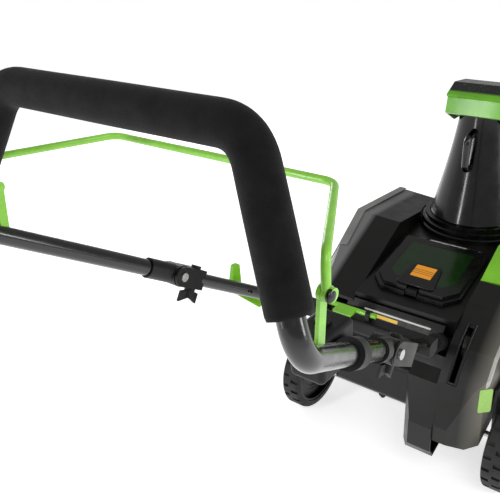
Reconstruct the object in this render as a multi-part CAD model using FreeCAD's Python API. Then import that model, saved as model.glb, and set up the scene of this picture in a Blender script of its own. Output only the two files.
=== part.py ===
"""Battery snow thrower with a folding tube handle, a turning chute and a lift-up battery lid.

The machine faces -Y, the operator stands at +Y, and +X is the operator's left.
Everything is drawn with the wheel axle at Y = 0 and the ground at Z = 0, and is
moved at the end so that the origin is on the ground under the middle of its box.
Lengths are in millimetres and angles in degrees.
"""
import FreeCAD, Part
import math
import os

V = FreeCAD.Vector
X_AXIS = V(1, 0, 0)
Z_AXIS = V(0, 0, 1)

# ---- clearances -----------------------------------------------------------
RUN = 0.05            # shaft in its bore, on the radius
GAP = 0.6             # moving piece beside a fixed one
SEAT = 0.3            # fixed piece beside a fixed one on another body

# ---- wheels and axle ------------------------------------------------------
WHEEL_R = 99.0
WHEEL_W = 42.0
WHEEL_X = 236.0       # middle of each wheel
TYRE_T = 16.0
TREAD_H = 4.0
TREAD_COUNT = 22
AXLE_R = 6.0
AXLE_CAP_L = 7.0
AXLE_PLATE_X = 205.0  # inner face of each axle bracket
AXLE_PLATE_T = 5.0

# ---- auger and its housing ------------------------------------------------
AUGER_Y = -300.0
AUGER_Z = 160.0
AUGER_R = 130.0
HOUSING_CLEAR = 10.0
HOUSING_WALL = 5.0
HOUSING_HALF_W = 259.0
HOUSING_FRONT_Y = -452.0
HOUSING_TOP_Z = 330.0
DRIVE_BAY = 24.0      # depth of the belt bay in the right side of the housing
AUGER_SHAFT_R = 10.0
PADDLE_T = 8.0
PADDLE_COUNT = 2
AUGER_PULLEY_R = 74.0
PULLEY_W = 12.0
BEARING_R = 18.0
BEARING_W = 8.0
SCRAPER_W = 50.0
SCRAPER_T = 5.0

# ---- motor and its gray cover ---------------------------------------------
MOTOR_Y = -30.0
MOTOR_Z = 275.0
MOTOR_R = 42.0
MOTOR_L = 70.0
MOTOR_SHAFT_R = 6.0
MOTOR_PULLEY_R = 18.0
BELT_T = 4.0
COVER_INNER_X = -112.6
COVER_OUTER_X = -200.0
COVER_TAIL_X = -52.0    # inner face of the cover behind the body
COVER_WALL = 3.5
SLOT_L = 112.0
SLOT_W = 11.0

# ---- deck, battery bay and lid --------------------------------------------
DECK_HALF_W = 112.0
DECK_REAR_Y = 22.0
DECK_REAR_Z = 352.0
DECK_RING_Z = 400.0
DECK_WALL = 4.0
BAY_HALF_W = 62.0
BAY_REAR_Y = -22.0
BAY_FRONT_Y = -168.0
BAY_FLOOR_Z = 236.0
BAY_WALL = 3.0
PACK_CLEAR = 2.0
PACK_H = 118.0
BUTTON_TRAVEL = 3.0
LID_HALF_W = 96.0
LID_REAR_Y = -6.0
LID_HINGE_Y = -186.0
LID_T = 9.0
LID_PIN_R = 2.5

# ---- chute ----------------------------------------------------------------
CHUTE_Y = -332.0
CHUTE_RING_R = 122.0
CHUTE_RING_H = 34.0
CHUTE_BORE_R = 84.0
THROAT_HALF = 62.0          # half the width of the square neck under the ring
CHUTE_BASE_R = 101.0
CHUTE_TOP_R = 56.0
CHUTE_H = 250.0
CHUTE_WALL = 4.0
DEFLECTOR_L = 78.0

# ---- handle ---------------------------------------------------------------
TUBE_R = 12.7
TUBE_WALL = 1.5
GRIP_R = 21.0
GRIP_CORNER = V(169, 690, 913)      # left corner of the grip loop
HANDLE_KNEE = V(248, 738, 745)      # where the loop's side turns down to the machine
HANDLE_FOOT = V(90, 45, 312)        # where the lower tube enters its socket
GRIP_BEND_R = 48.0
KNEE_BEND_R = 34.0
FOLD_AT = 0.401                     # fold hinge, as a share of knee to foot
LOWER_TUBE_R = 11.1
KNUCKLE_R = 17.0
KNUCKLE_HALF_W = 15.5
CHEEK_T = 4.0
FOLD_PIN_R = 4.0
FORK_L = 52.0
BRIDGE_AT = 0.771                    # bridge between the lower tubes, as a share of knee to foot
LOCK_BAR_R = 4.5
LOCK_BAR_X0 = -34.0
LOCK_BAR_X1 = 80.0
LEVER_AT = 0.590                    # cam lever's pin, as a share of knee to foot
KNOB_AT = 38.0                      # lock knob's bolt from the hinge
KNOB_BOLT_R = 4.0

# ---- bail -----------------------------------------------------------------
BAIL_R = 4.5
BAIL_BAR = V(165, 552, 821)
BAIL_SHOULDER = V(240, 687, 817)
BAIL_PIVOT = V(0, 686, 780)
BAIL_EYE_X = 241.0                  # middle of each eye
BAIL_EYE_T = 5.0
BAIL_EYE_R = 7.5
BAIL_STRIP_W = 11.0
BAIL_BOLT_R = 3.0

# ---- lower body -----------------------------------------------------------
BODY_LEFT_X = 168.0
BODY_REAR_Y = 34.0
BODY_FLOOR_Z = 120.0
BODY_TOP_Z = 318.0
BODY_WALL = 4.0
BODY_FRONT_Y = AUGER_Y + AUGER_R + HOUSING_CLEAR + HOUSING_WALL + 4

# ---- side pods: (Y, inner top Z, outer X, shoulder Z, top X, top Z, floor Z) at each station ----
POD_FLOOR = HOUSING_TOP_Z + 2
POD_BACK = (-75, 388, 236, 342, 208, 398, POD_FLOOR)
POD_PEAK = (-175, 436, 257, 366, 220, 442, POD_FLOOR)
POD_FRONT = (-395, 414, 257, 366, 222, 424, POD_FLOOR)
POD_NOSE = (-448, 352, 246, 342, 222, 362, POD_FLOOR)
POD_TAIL = (32, 338, 198, 334, 186, 342, POD_FLOOR)

nodes = {}


# ---- helpers --------------------------------------------------------------
def mirrored(shape):
    """The same shape on the other side of the machine."""
    return shape.mirror(V(0, 0, 0), X_AXIS)


def block(x0, x1, y0, y1, z0, z1):
    return Part.makeBox(x1 - x0, y1 - y0, z1 - z0, V(x0, y0, z0))


def rod(start, end, radius):
    """A round bar between two points."""
    along = end.sub(start)
    return Part.makeCylinder(radius, along.Length, start, along)


def pipe(start, end, radius, bore):
    """A round bar with a hole along it."""
    return rod(start, end, radius).cut(rod(start, end, bore))


def side_prism(points, x0, x1):
    """A (Y, Z) outline carried along X."""
    corners = [V(x0, y, z) for y, z in points]
    face = Part.Face(Part.makePolygon(corners + corners[:1]))
    return face.extrude(V(x1 - x0, 0, 0))


def loft(sections):
    """A solid with flat or ruled sides through closed outlines of equal point count."""
    wires = [Part.makePolygon(s + s[:1]) for s in sections]
    return Part.makeLoft(wires, True, True)


def bent_path(points, radii):
    """Straight runs joined by tangent arcs; radii has one value for each inner point."""
    edges = []
    here = points[0]
    for before, corner, after, radius in zip(points, points[1:], points[2:], radii):
        a = before.sub(corner).normalize()
        b = after.sub(corner).normalize()
        half = a.getAngle(b) / 2
        reach = radius / math.tan(half)
        middle = a.add(b).normalize()
        centre = corner.add(middle * (radius / math.sin(half)))
        start = corner.add(a * reach)
        end = corner.add(b * reach)
        top = centre.sub(middle * radius)
        edges.append(Part.LineSegment(here, start).toShape())
        edges.append(Part.Arc(start, top, end).toShape())
        here = end
    edges.append(Part.LineSegment(here, points[-1]).toShape())
    return Part.Wire(edges)


def swept(points, radii, radius):
    """A round bar along a bent path."""
    path = bent_path(points, radii)
    along = points[1].sub(points[0])
    ring = Part.Wire(Part.makeCircle(radius, points[0], along))
    return path.makePipeShell([ring], True, False)


def screw(place, axis, head_r, head_h, shank_r, shank_l):
    """A pan head screw; place is under its head and axis points out of the head."""
    head = Part.makeCylinder(head_r, head_h, place, axis)
    recess = Part.makeCylinder(head_r * 0.45, head_h * 0.5, place.add(axis * (head_h * 0.5)), axis)
    shank = Part.makeCylinder(shank_r, shank_l, place, axis * -1)
    return head.cut(recess).fuse(shank)


def along_handle(share):
    """A point of the left handle's line, as a share of the way from knee to foot."""
    return HANDLE_KNEE.add(HANDLE_FOOT.sub(HANDLE_KNEE) * share)


HANDLE_DIR = HANDLE_FOOT.sub(HANDLE_KNEE).normalize()
FOLD = along_handle(FOLD_AT)
HOUSING_R = AUGER_R + HOUSING_CLEAR
RIGHT_WALL_X = -HOUSING_HALF_W + DRIVE_BAY
BELT_X = -HOUSING_HALF_W + HOUSING_WALL + PULLEY_W / 2


# ---- wheels ---------------------------------------------------------------
def wheel(side):
    """Spoked hub and lugged tyre; side is +1 for the left wheel and -1 for the right."""
    rim_r = WHEEL_R - TYRE_T
    half = WHEEL_W / 2
    x0 = side * WHEEL_X - half
    rim = pipe(V(x0 + 2, 0, WHEEL_R), V(x0 + WHEEL_W - 2, 0, WHEEL_R), rim_r, rim_r - 5)
    boss = rod(V(x0 - 1, 0, WHEEL_R), V(x0 + WHEEL_W + 1, 0, WHEEL_R), 2.6 * AXLE_R)
    web = rod(V(x0 + half - 5, 0, WHEEL_R), V(x0 + half + 5, 0, WHEEL_R), rim_r - 2)
    window_r = (rim_r - 2.6 * AXLE_R) / 3.4
    window_at = 0.6 * rim_r
    for n in range(6):
        angle = math.radians(60 * n)
        y = window_at * math.cos(angle)
        z = WHEEL_R + window_at * math.sin(angle)
        web = web.cut(rod(V(x0, y, z), V(x0 + WHEEL_W, y, z), window_r))
    bore = rod(V(x0 - 2, 0, WHEEL_R), V(x0 + WHEEL_W + 2, 0, WHEEL_R), AXLE_R + RUN)
    hub = rim.fuse(web).fuse(boss).cut(bore).removeSplitter()

    tyre = pipe(V(x0, 0, WHEEL_R), V(x0 + WHEEL_W, 0, WHEEL_R), WHEEL_R, rim_r)
    around = 2 * math.pi * WHEEL_R
    outer = [e for e in tyre.Edges if e.Length > around - 1 and isinstance(e.Curve, Part.Circle)]
    tyre = tyre.makeFillet(7.0, outer)
    pitch = 360 / TREAD_COUNT
    groove = block(-half - 1, -3, -TREAD_H, TREAD_H, WHEEL_R - TREAD_H, WHEEL_R + 1)
    other = block(3, half + 1, -TREAD_H, TREAD_H, WHEEL_R - TREAD_H, WHEEL_R + 1)
    cuts = []
    for n in range(TREAD_COUNT):
        for piece, turn in ((groove, 0.0), (other, pitch / 2)):
            cut = piece.copy()
            cut.rotate(V(0, 0, 0), X_AXIS, pitch * n + turn)
            cut.translate(V(side * WHEEL_X, 0, WHEEL_R))
            cuts.append(cut)
    return hub, tyre.cut(Part.makeCompound(cuts))


def wheels():
    for name, side in (("left", 1), ("right", -1)):
        hub, tyre = wheel(side)
        nodes["wheel_hub_" + name] = hub
        nodes["tyre_" + name] = tyre


def axle_end_x():
    return WHEEL_X + WHEEL_W / 2 + 1 + GAP


def axle_parts():
    end = axle_end_x() + AXLE_CAP_L - 2
    shaft = rod(V(-end, 0, WHEEL_R), V(end, 0, WHEEL_R), AXLE_R)
    caps = []
    for side in (1, -1):
        x = side * axle_end_x()
        cap = Part.makeCylinder(2 * AXLE_R, AXLE_CAP_L, V(x, 0, WHEEL_R), V(side, 0, 0))
        tip = [e for e in cap.Edges if abs(e.CenterOfMass.x - x - side * AXLE_CAP_L) < 0.01]
        caps.append(cap.makeFillet(3.0, tip).cut(shaft))
    nodes["axle"] = shaft.fuse(caps[0]).fuse(caps[1])
    outline = [(-20, WHEEL_R - 20), (20, WHEEL_R - 20), (30, 205), (30, 236), (-100, 236), (-100, 180)]
    plate = side_prism(outline, AXLE_PLATE_X, AXLE_PLATE_X + AXLE_PLATE_T)
    foot = block(BODY_LEFT_X, AXLE_PLATE_X + AXLE_PLATE_T, -100, 30, 236, 236 + AXLE_PLATE_T)
    left = plate.fuse(foot).cut(shaft)
    inward = block(-AXLE_PLATE_X - AXLE_PLATE_T, COVER_OUTER_X - SEAT, -100, 0, 190, 190 + AXLE_PLATE_T)
    right = mirrored(plate).fuse(inward).cut(shaft)
    nodes["axle_brackets"] = Part.makeCompound([left, right])


# ---- auger ----------------------------------------------------------------
def blade_section(x, turn, root_r):
    """A rectangle across one blade at x, turned about the auger's shaft."""
    angle = math.radians(turn)
    out = V(0, math.cos(angle), math.sin(angle))
    across = V(0, -math.sin(angle), math.cos(angle)) * (PADDLE_T / 2)
    centre = V(x, AUGER_Y, AUGER_Z)
    return [
        centre.add(out * root_r).sub(across),
        centre.add(out * AUGER_R).sub(across),
        centre.add(out * AUGER_R).add(across),
        centre.add(out * root_r).add(across),
    ]


def paddle(start_turn):
    """One rubber blade: flat in the middle, and twisted back towards both ends."""
    core_r = 1.6 * AUGER_SHAFT_R
    left = HOUSING_HALF_W - HOUSING_WALL - HOUSING_CLEAR
    right = RIGHT_WALL_X + HOUSING_CLEAR
    flat = 70.0
    steps = 6
    blade = loft([blade_section(x, start_turn, core_r) for x in (-flat, flat)])
    for end in (left, right):
        inner = math.copysign(flat, end)
        sections = []
        for n in range(steps + 1):
            share = n / steps
            sections.append(blade_section(inner + (end - inner) * share, start_turn - 95 * share, core_r))
        blade = blade.fuse(loft(sections))
    return blade.removeSplitter()


def auger():
    left_end = HOUSING_HALF_W - 1
    right_end = BELT_X - PULLEY_W / 2 - 1
    shaft = rod(V(right_end, AUGER_Y, AUGER_Z), V(left_end, AUGER_Y, AUGER_Z), AUGER_SHAFT_R)
    core_r = 1.6 * AUGER_SHAFT_R
    reach = HOUSING_CLEAR - 1
    core_a = V(RIGHT_WALL_X + reach, AUGER_Y, AUGER_Z)
    core_b = V(HOUSING_HALF_W - HOUSING_WALL - reach, AUGER_Y, AUGER_Z)
    core = rod(core_a, core_b, core_r)
    nodes["auger_shaft"] = shaft.fuse(core).removeSplitter()
    blades = [paddle(360 * n / PADDLE_COUNT + 20).cut(core) for n in range(PADDLE_COUNT)]
    nodes["auger_paddles"] = Part.makeCompound(blades)
    nodes["auger_pulley"] = pulley(AUGER_Y, AUGER_Z, AUGER_PULLEY_R, AUGER_SHAFT_R, 6)


def pulley(y, z, radius, bore_r, windows):
    """A flanged belt pulley round an axis along X."""
    x0 = BELT_X - PULLEY_W / 2
    body = rod(V(x0, y, z), V(x0 + PULLEY_W, y, z), radius)
    for x in (x0, x0 + PULLEY_W - 1.5):
        body = body.fuse(rod(V(x, y, z), V(x + 1.5, y, z), radius + 2))
    for n in range(windows):
        angle = 2 * math.pi * n / windows
        place_y = y + 0.58 * radius * math.cos(angle)
        place_z = z + 0.58 * radius * math.sin(angle)
        body = body.cut(rod(V(x0, place_y, place_z), V(x0 + PULLEY_W, place_y, place_z), radius / 5))
    return body.cut(rod(V(x0 - 1, y, z), V(x0 + PULLEY_W + 1, y, z), bore_r)).removeSplitter()


def capsule(radius_a, radius_b, x0, x1):
    """The tapered band round the auger pulley and the motor pulley, as a solid along X."""
    dy = MOTOR_Y - AUGER_Y
    dz = MOTOR_Z - AUGER_Z
    distance = math.hypot(dy, dz)
    lean = math.atan2(dz, dy)
    open_angle = math.acos((radius_a - radius_b) / distance)
    corners = []
    for sign, order in ((1, (0, 1)), (-1, (1, 0))):
        angle = lean + sign * open_angle
        ends = (
            (AUGER_Y + radius_a * math.cos(angle), AUGER_Z + radius_a * math.sin(angle)),
            (MOTOR_Y + radius_b * math.cos(angle), MOTOR_Z + radius_b * math.sin(angle)),
        )
        corners += [ends[order[0]], ends[order[1]]]
    band = side_prism(corners, x0, x1)
    band = band.fuse(rod(V(x0, AUGER_Y, AUGER_Z), V(x1, AUGER_Y, AUGER_Z), radius_a))
    return band.fuse(rod(V(x0, MOTOR_Y, MOTOR_Z), V(x1, MOTOR_Y, MOTOR_Z), radius_b)).removeSplitter()


def drive_belt():
    x0 = BELT_X - PULLEY_W / 2 + 1.5 + GAP
    x1 = BELT_X + PULLEY_W / 2 - 1.5 - GAP
    outer = capsule(AUGER_PULLEY_R + SEAT + BELT_T, MOTOR_PULLEY_R + SEAT + BELT_T, x0, x1)
    nodes["drive_belt"] = outer.cut(capsule(AUGER_PULLEY_R + SEAT, MOTOR_PULLEY_R + SEAT, x0 - 1, x1 + 1))


# ---- auger housing --------------------------------------------------------
def housing_outline(grow):
    """Side view of the scoop as a face at X = 0; grow moves its curved back outwards."""
    r = HOUSING_R + grow
    front = HOUSING_FRONT_Y
    bottom = V(0, AUGER_Y, AUGER_Z - r)
    back = V(0, AUGER_Y + r, AUGER_Z)
    top = V(0, AUGER_Y, AUGER_Z + r)
    edges = [
        Part.Arc(bottom, back, top).toShape(),
        Part.LineSegment(top, V(0, front + 25, AUGER_Z + r + 8)).toShape(),
        Part.LineSegment(V(0, front + 25, AUGER_Z + r + 8), V(0, front, AUGER_Z + 0.75 * r)).toShape(),
        Part.LineSegment(V(0, front, AUGER_Z + 0.75 * r), V(0, front + 20, AUGER_Z - r)).toShape(),
        Part.LineSegment(V(0, front + 20, AUGER_Z - r), bottom).toShape(),
    ]
    return Part.Face(Part.Wire(edges))


def throat(half, top):
    """Square upright passage from the scoop to the chute's ring."""
    return block(-half, half, CHUTE_Y - half, CHUTE_Y + half, 200, top)


def auger_housing():
    outer = housing_outline(HOUSING_WALL).extrude(V(HOUSING_HALF_W - RIGHT_WALL_X + HOUSING_WALL, 0, 0))
    outer.translate(V(RIGHT_WALL_X - HOUSING_WALL, 0, 0))
    width = HOUSING_HALF_W - HOUSING_WALL - RIGHT_WALL_X
    room = housing_outline(0).extrude(V(width, 0, 0))
    room.translate(V(RIGHT_WALL_X, 0, 0))
    mouth = side_prism(
        [
            (HOUSING_FRONT_Y - 30, AUGER_Z - HOUSING_R),
            (AUGER_Y, AUGER_Z - HOUSING_R),
            (AUGER_Y, AUGER_Z + HOUSING_R),
            (HOUSING_FRONT_Y - 30, AUGER_Z + HOUSING_R + 6),
        ],
        RIGHT_WALL_X,
        RIGHT_WALL_X + width,
    )
    shell = outer.cut(room.fuse(mouth))
    lip_z = AUGER_Z - HOUSING_R + 1
    shell = shell.cut(block(RIGHT_WALL_X, RIGHT_WALL_X + width, -600, AUGER_Y - 20, 0, lip_z))
    neck = throat(THROAT_HALF + DECK_WALL, DECK_RING_Z - DECK_WALL)
    shell = shell.fuse(neck.cut(room.fuse(mouth)))
    shell = shell.cut(throat(THROAT_HALF, DECK_RING_Z + 10))
    inner_faces = ((HOUSING_HALF_W - HOUSING_WALL, -1), (RIGHT_WALL_X, 1))
    for x, inward in inner_faces:
        boss = Part.makeCylinder(BEARING_R + 5, HOUSING_CLEAR - 5, V(x, AUGER_Y, AUGER_Z), V(inward, 0, 0))
        shell = shell.fuse(boss)
    for x in (HOUSING_HALF_W, RIGHT_WALL_X - HOUSING_WALL):
        along = V(-1 if x > 0 else 1, 0, 0)
        shell = shell.cut(Part.makeCylinder(BEARING_R, 20, V(x, AUGER_Y, AUGER_Z), along))
    nodes["auger_housing"] = shell.removeSplitter()


def bearings():
    rings = []
    for x0 in (HOUSING_HALF_W - HOUSING_WALL, RIGHT_WALL_X - BEARING_W + 3):
        a = V(x0 - 3 if x0 > 0 else x0, AUGER_Y, AUGER_Z)
        b = a.add(V(BEARING_W, 0, 0))
        rings.append(pipe(a, b, BEARING_R, AUGER_SHAFT_R + RUN))
    nodes["auger_bearings"] = Part.makeCompound(rings)


def scraper():
    y0 = AUGER_Y - 18
    x0 = RIGHT_WALL_X - HOUSING_WALL + 2
    x1 = HOUSING_HALF_W - 2
    top = AUGER_Z - HOUSING_R - HOUSING_WALL
    bar = block(x0, x1, y0, y0 + SCRAPER_W, 0, top)
    bevel = side_prism([(y0 - 1, top), (y0 - 1, top + 1), (y0 + 22, top + 1)], x0, x1)
    pocket = block(x0 + 20, x1 - 20, y0 + 30, y0 + SCRAPER_W + 1, 0, top - SCRAPER_T)
    bar = bar.cut(bevel).cut(pocket)
    bar = bar.cut(housing_outline(HOUSING_WALL).extrude(V(900, 0, 0)).translated(V(-450, 0, 0)))
    holes = []
    screws = []
    for n in range(5):
        x = x0 + 60 + n * (x1 - x0 - 120) / 4
        place = V(x, y0 + 40, top - SCRAPER_T)
        holes.append(Part.makeCylinder(3.0, 30, place.sub(V(0, 0, 10))))
        screws.append(screw(place, V(0, 0, -1), 5.0, 2.5, 3.0, SCRAPER_T))
    nodes["scraper_bar"] = bar.cut(Part.makeCompound(holes))
    nodes["scraper_screws"] = Part.makeCompound(screws)


def belt_cover():
    """Hollow cover on the right end: the scoop's outline joined to the belt's band."""
    x_out = -HOUSING_HALF_W
    x_in = RIGHT_WALL_X - HOUSING_WALL - SEAT
    wall = 3.0
    clear = AUGER_PULLEY_R + BELT_T + 8
    small = MOTOR_PULLEY_R + BELT_T + 8
    side = housing_outline(HOUSING_WALL).extrude(V(x_in - x_out, 0, 0)).translated(V(x_out, 0, 0))
    outer = side.fuse(capsule(clear + wall, small + wall, x_out, x_in)).removeSplitter()
    room = capsule(clear, small, x_out + wall, x_in + 1)
    cover = outer.cut(room)
    back = capsule(clear + wall, small + wall, x_in + SEAT, x_in + SEAT + 2)
    holes = rod(V(x_in - 1, MOTOR_Y, MOTOR_Z), V(x_in + 9, MOTOR_Y, MOTOR_Z), MOTOR_SHAFT_R + 3)
    back = back.cut(housing_outline(HOUSING_WALL + SEAT).extrude(V(900, 0, 0)).translated(V(-450, 0, 0)))
    nodes["belt_cover"] = cover
    nodes["belt_back_plate"] = back.cut(holes)


# ---- lower body, deck and side pods ---------------------------------------


def lower_body():
    """Open-topped box behind the scoop, with a rounded rear, carrying the rear panel."""
    x0 = COVER_INNER_X + SEAT
    outer = block(x0, BODY_LEFT_X, BODY_FRONT_Y, BODY_REAR_Y, BODY_FLOOR_Z, BODY_TOP_Z)
    rear = [
        e for e in outer.Edges
        if abs(e.CenterOfMass.y - BODY_REAR_Y) < 0.1 and abs(e.CenterOfMass.z - BODY_TOP_Z) > 1
    ]
    outer = outer.makeFillet(16.0, rear)
    wall = BODY_WALL
    room = block(
        x0 + wall, BODY_LEFT_X - wall, BODY_FRONT_Y + wall, BODY_REAR_Y - wall,
        BODY_FLOOR_Z + wall, BODY_TOP_Z + 20,
    )
    inner = [
        e for e in room.Edges
        if abs(e.CenterOfMass.y - BODY_REAR_Y + 4) < 0.1 and e.CenterOfMass.z < BODY_TOP_Z + 19
    ]
    room = room.makeFillet(12.0, inner)
    body = outer.cut(room)
    nose = block(x0 + 30, BODY_LEFT_X - 30, BODY_REAR_Y - 5, BODY_REAR_Y + 30, BODY_FLOOR_Z + 22, 236)
    nose = nose.makeFillet(14.0, [e for e in nose.Edges if e.CenterOfMass.y > BODY_REAR_Y + 29])
    body = body.fuse(nose.cut(room))
    lug = Part.makeCylinder(9, 14, V(40, BODY_REAR_Y - 18, BODY_FLOOR_Z - 12))
    lug = lug.fuse(Part.makeCylinder(5, 20, V(40, BODY_REAR_Y - 18, BODY_FLOOR_Z - 18)))
    body = body.fuse(lug.cut(room))
    body = body.cut(tray_box(SEAT)).cut(cover_block(SEAT))
    nodes["lower_body"] = body.removeSplitter()
    nodes["control_box"] = control_box(x0)


def control_box(x0):
    """The sealed motor controller with cooling fins, on the floor of the lower body."""
    box = block(x0 + 40, x0 + 160, -110, -30, BODY_FLOOR_Z + 4, BODY_FLOOR_Z + 34)
    fins = []
    for n in range(10):
        x = x0 + 44 + 12 * n
        fins.append(block(x, x + 4, -106, -34, BODY_FLOOR_Z + 34, BODY_FLOOR_Z + 48))
    return box.fuse(Part.makeCompound(fins)).removeSplitter()


def deck_outline():
    """Side view of the deck's top, from the rear edge to the nose."""
    top = DECK_RING_Z
    nose_z = HOUSING_TOP_Z + 12
    return [
        (DECK_REAR_Y, BODY_TOP_Z + SEAT),
        (DECK_REAR_Y, DECK_REAR_Z),
        (LID_HINGE_Y - 6, top),
        (CHUTE_Y - 70, top),
        (HOUSING_FRONT_Y + 8, nose_z),
        (HOUSING_FRONT_Y + 8, HOUSING_TOP_Z - 4),
        (CHUTE_Y - 70, HOUSING_TOP_Z - 4),
        (AUGER_Y + 130, HOUSING_TOP_Z - 4),
        (AUGER_Y + 130, BODY_TOP_Z + SEAT),
    ]


def inset(points, wall):
    """An outline drawn in by a wall thickness, as (Y, Z) points."""
    wire = Part.makePolygon([V(0, y, z) for y, z in points + points[:1]])
    small = wire.makeOffset2D(-wall, 2, False, False, False)
    return [(v.Point.y, v.Point.z) for v in small.OrderedVertexes]


def deck():
    outline = deck_outline()
    outer = side_prism(outline, -DECK_HALF_W, DECK_HALF_W)
    room = side_prism(inset(outline, DECK_WALL), -DECK_HALF_W + DECK_WALL, DECK_HALF_W - DECK_WALL)
    shell = outer.cut(room)
    floor = block(
        -DECK_HALF_W + DECK_WALL + 1, DECK_HALF_W - DECK_WALL - 1,
        AUGER_Y + 131, DECK_REAR_Y - DECK_WALL - 1, BODY_TOP_Z, BODY_TOP_Z + DECK_WALL + 1,
    )
    shell = shell.cut(floor)
    half = BAY_HALF_W + BAY_WALL
    bay = block(-half, half, BAY_FRONT_Y - BAY_WALL, BAY_REAR_Y + BAY_WALL, 300, 420)
    shell = shell.cut(bay)
    shell = shell.cut(throat(THROAT_HALF + DECK_WALL + SEAT, DECK_RING_Z + 10))
    shell = shell.cut(lid_pocket(GAP))
    shell = shell.cut(housing_outline(HOUSING_WALL + SEAT).extrude(V(900, 0, 0)).translated(V(-450, 0, 0)))
    solids = sorted(shell.Solids, key=lambda s: s.Volume)
    nodes["deck"] = solids[-1]


def lid_slope():
    return (DECK_RING_Z - DECK_REAR_Z) / (DECK_REAR_Y - (LID_HINGE_Y - 6))


def deck_z(y):
    """Height of the deck's sloping top at y."""
    return DECK_REAR_Z + (DECK_REAR_Y - y) * lid_slope()


def lid_plan(grow):
    """Plan outline of the lid, with its rear corners cut off."""
    w = LID_HALF_W + grow
    cut = 26.0
    rear = LID_REAR_Y + grow
    front = LID_HINGE_Y + 10 - grow
    return [(-w, front), (w, front), (w, rear - cut), (w - cut, rear), (-w + cut, rear), (-w, rear - cut)]


def sloped_plate(plan, low, high):
    """A plan outline carried up between two heights measured from the deck's slope."""
    sections = []
    for rise in (low, high):
        sections.append([V(x, y, deck_z(y) + rise) for x, y in plan])
    return loft(sections)


def lid_pocket(grow):
    return sloped_plate(lid_plan(grow), -3.0 - grow, 40)


def battery_lid():
    """Lid frame with a raised step, hinge ears at its front and a window rebate."""
    step = [(x * 0.93, (y - LID_HINGE_Y) * 0.93 + LID_HINGE_Y + 5) for x, y in lid_plan(0)]
    body = sloped_plate(lid_plan(0), 0.5, LID_T).fuse(sloped_plate(step, LID_T - 1, LID_T + 7))
    hollow = [(x * 0.84, (y - LID_HINGE_Y) * 0.86 + LID_HINGE_Y + 9) for x, y in lid_plan(0)]
    body = body.cut(sloped_plate(hollow, -1, LID_T + 2))
    window = window_plan()
    body = body.cut(sloped_plate(window, LID_T, LID_T + 8))
    ears = []
    for x in (-70, 50):
        ear = rod(V(x, LID_HINGE_Y, hinge_z()), V(x + 20, LID_HINGE_Y, hinge_z()), 5.0)
        arm = block(x, x + 20, LID_HINGE_Y, LID_HINGE_Y + 14, hinge_z() - 2, hinge_z() + 4)
        ears.append(ear.fuse(arm))
    body = body.fuse(ears[0]).fuse(ears[1])
    pins = hinge_pin(LID_PIN_R + RUN)
    edge = LID_REAR_Y + 1
    latch_slot = sloped_plate([(-14, -32), (14, -32), (14, edge), (-14, edge)], -1, LID_T + 12)
    nodes["battery_lid"] = body.cut(pins).cut(latch_slot).removeSplitter()
    nodes["lid_window"] = sloped_plate(window_plan(SEAT), LID_T + 2, LID_T + 6.5)
    label = [(-25, -86), (25, -86), (25, -44), (-25, -44)]
    nodes["lid_label"] = sloped_plate(label, LID_T + 6.5, LID_T + 7.2)


def window_plan(shrink=0.0):
    """Plan outline of the lid's smoked window: wide at the front, narrower at the rear."""
    w = 0.74 * LID_HALF_W - shrink
    front = LID_HINGE_Y + 30 + shrink
    rear = LID_REAR_Y - 34 - shrink
    return [(-w, front), (w, front), (w, rear - 18), (w - 18, rear), (-w + 18, rear), (-w, rear - 18)]


def hinge_z():
    return deck_z(LID_HINGE_Y) + 5.5


def hinge_pin(radius):
    return rod(V(-76, LID_HINGE_Y, hinge_z()), V(76, LID_HINGE_Y, hinge_z()), radius)


def lid_hinge():
    """Lugs on the deck that carry the lid's pin between its ears."""
    lugs = []
    for x in (-78, 46 + 25 + GAP, -50 + GAP, 50 - GAP - 7):
        lug = block(x, x + 7 - GAP, LID_HINGE_Y - 5, LID_HINGE_Y + 5, deck_z(LID_HINGE_Y) + 0.1, hinge_z())
        lug = lug.fuse(rod(V(x, LID_HINGE_Y, hinge_z()), V(x + 7 - GAP, LID_HINGE_Y, hinge_z()), 5.0))
        lugs.append(lug.cut(hinge_pin(LID_PIN_R)))
        nodes["deck"] = nodes["deck"].fuse(lugs[-1])
    nodes["lid_hinge_pin"] = hinge_pin(LID_PIN_R)


def lid_latch():
    """Press latch in the lid's rear edge; it slides forward against a spring."""
    base = deck_z(-20)
    button = block(-12, 12, -26, LID_REAR_Y - 1, base + 1.0, base + LID_T + 4)
    edges = [e for e in button.Edges if abs(e.CenterOfMass.z - base - LID_T - 4) < 0.1]
    nodes["lid_latch"] = button.makeFillet(2.0, edges)


# ---- battery --------------------------------------------------------------
def tray_box(grow):
    """The battery tray's outside, grown by a clearance."""
    return block(
        -BAY_HALF_W - BAY_WALL - grow, BAY_HALF_W + BAY_WALL + grow,
        BAY_FRONT_Y - BAY_WALL - grow, BAY_REAR_Y + BAY_WALL + grow,
        BAY_FLOOR_Z - grow, deck_z(BAY_REAR_Y) - 4,
    )


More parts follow.
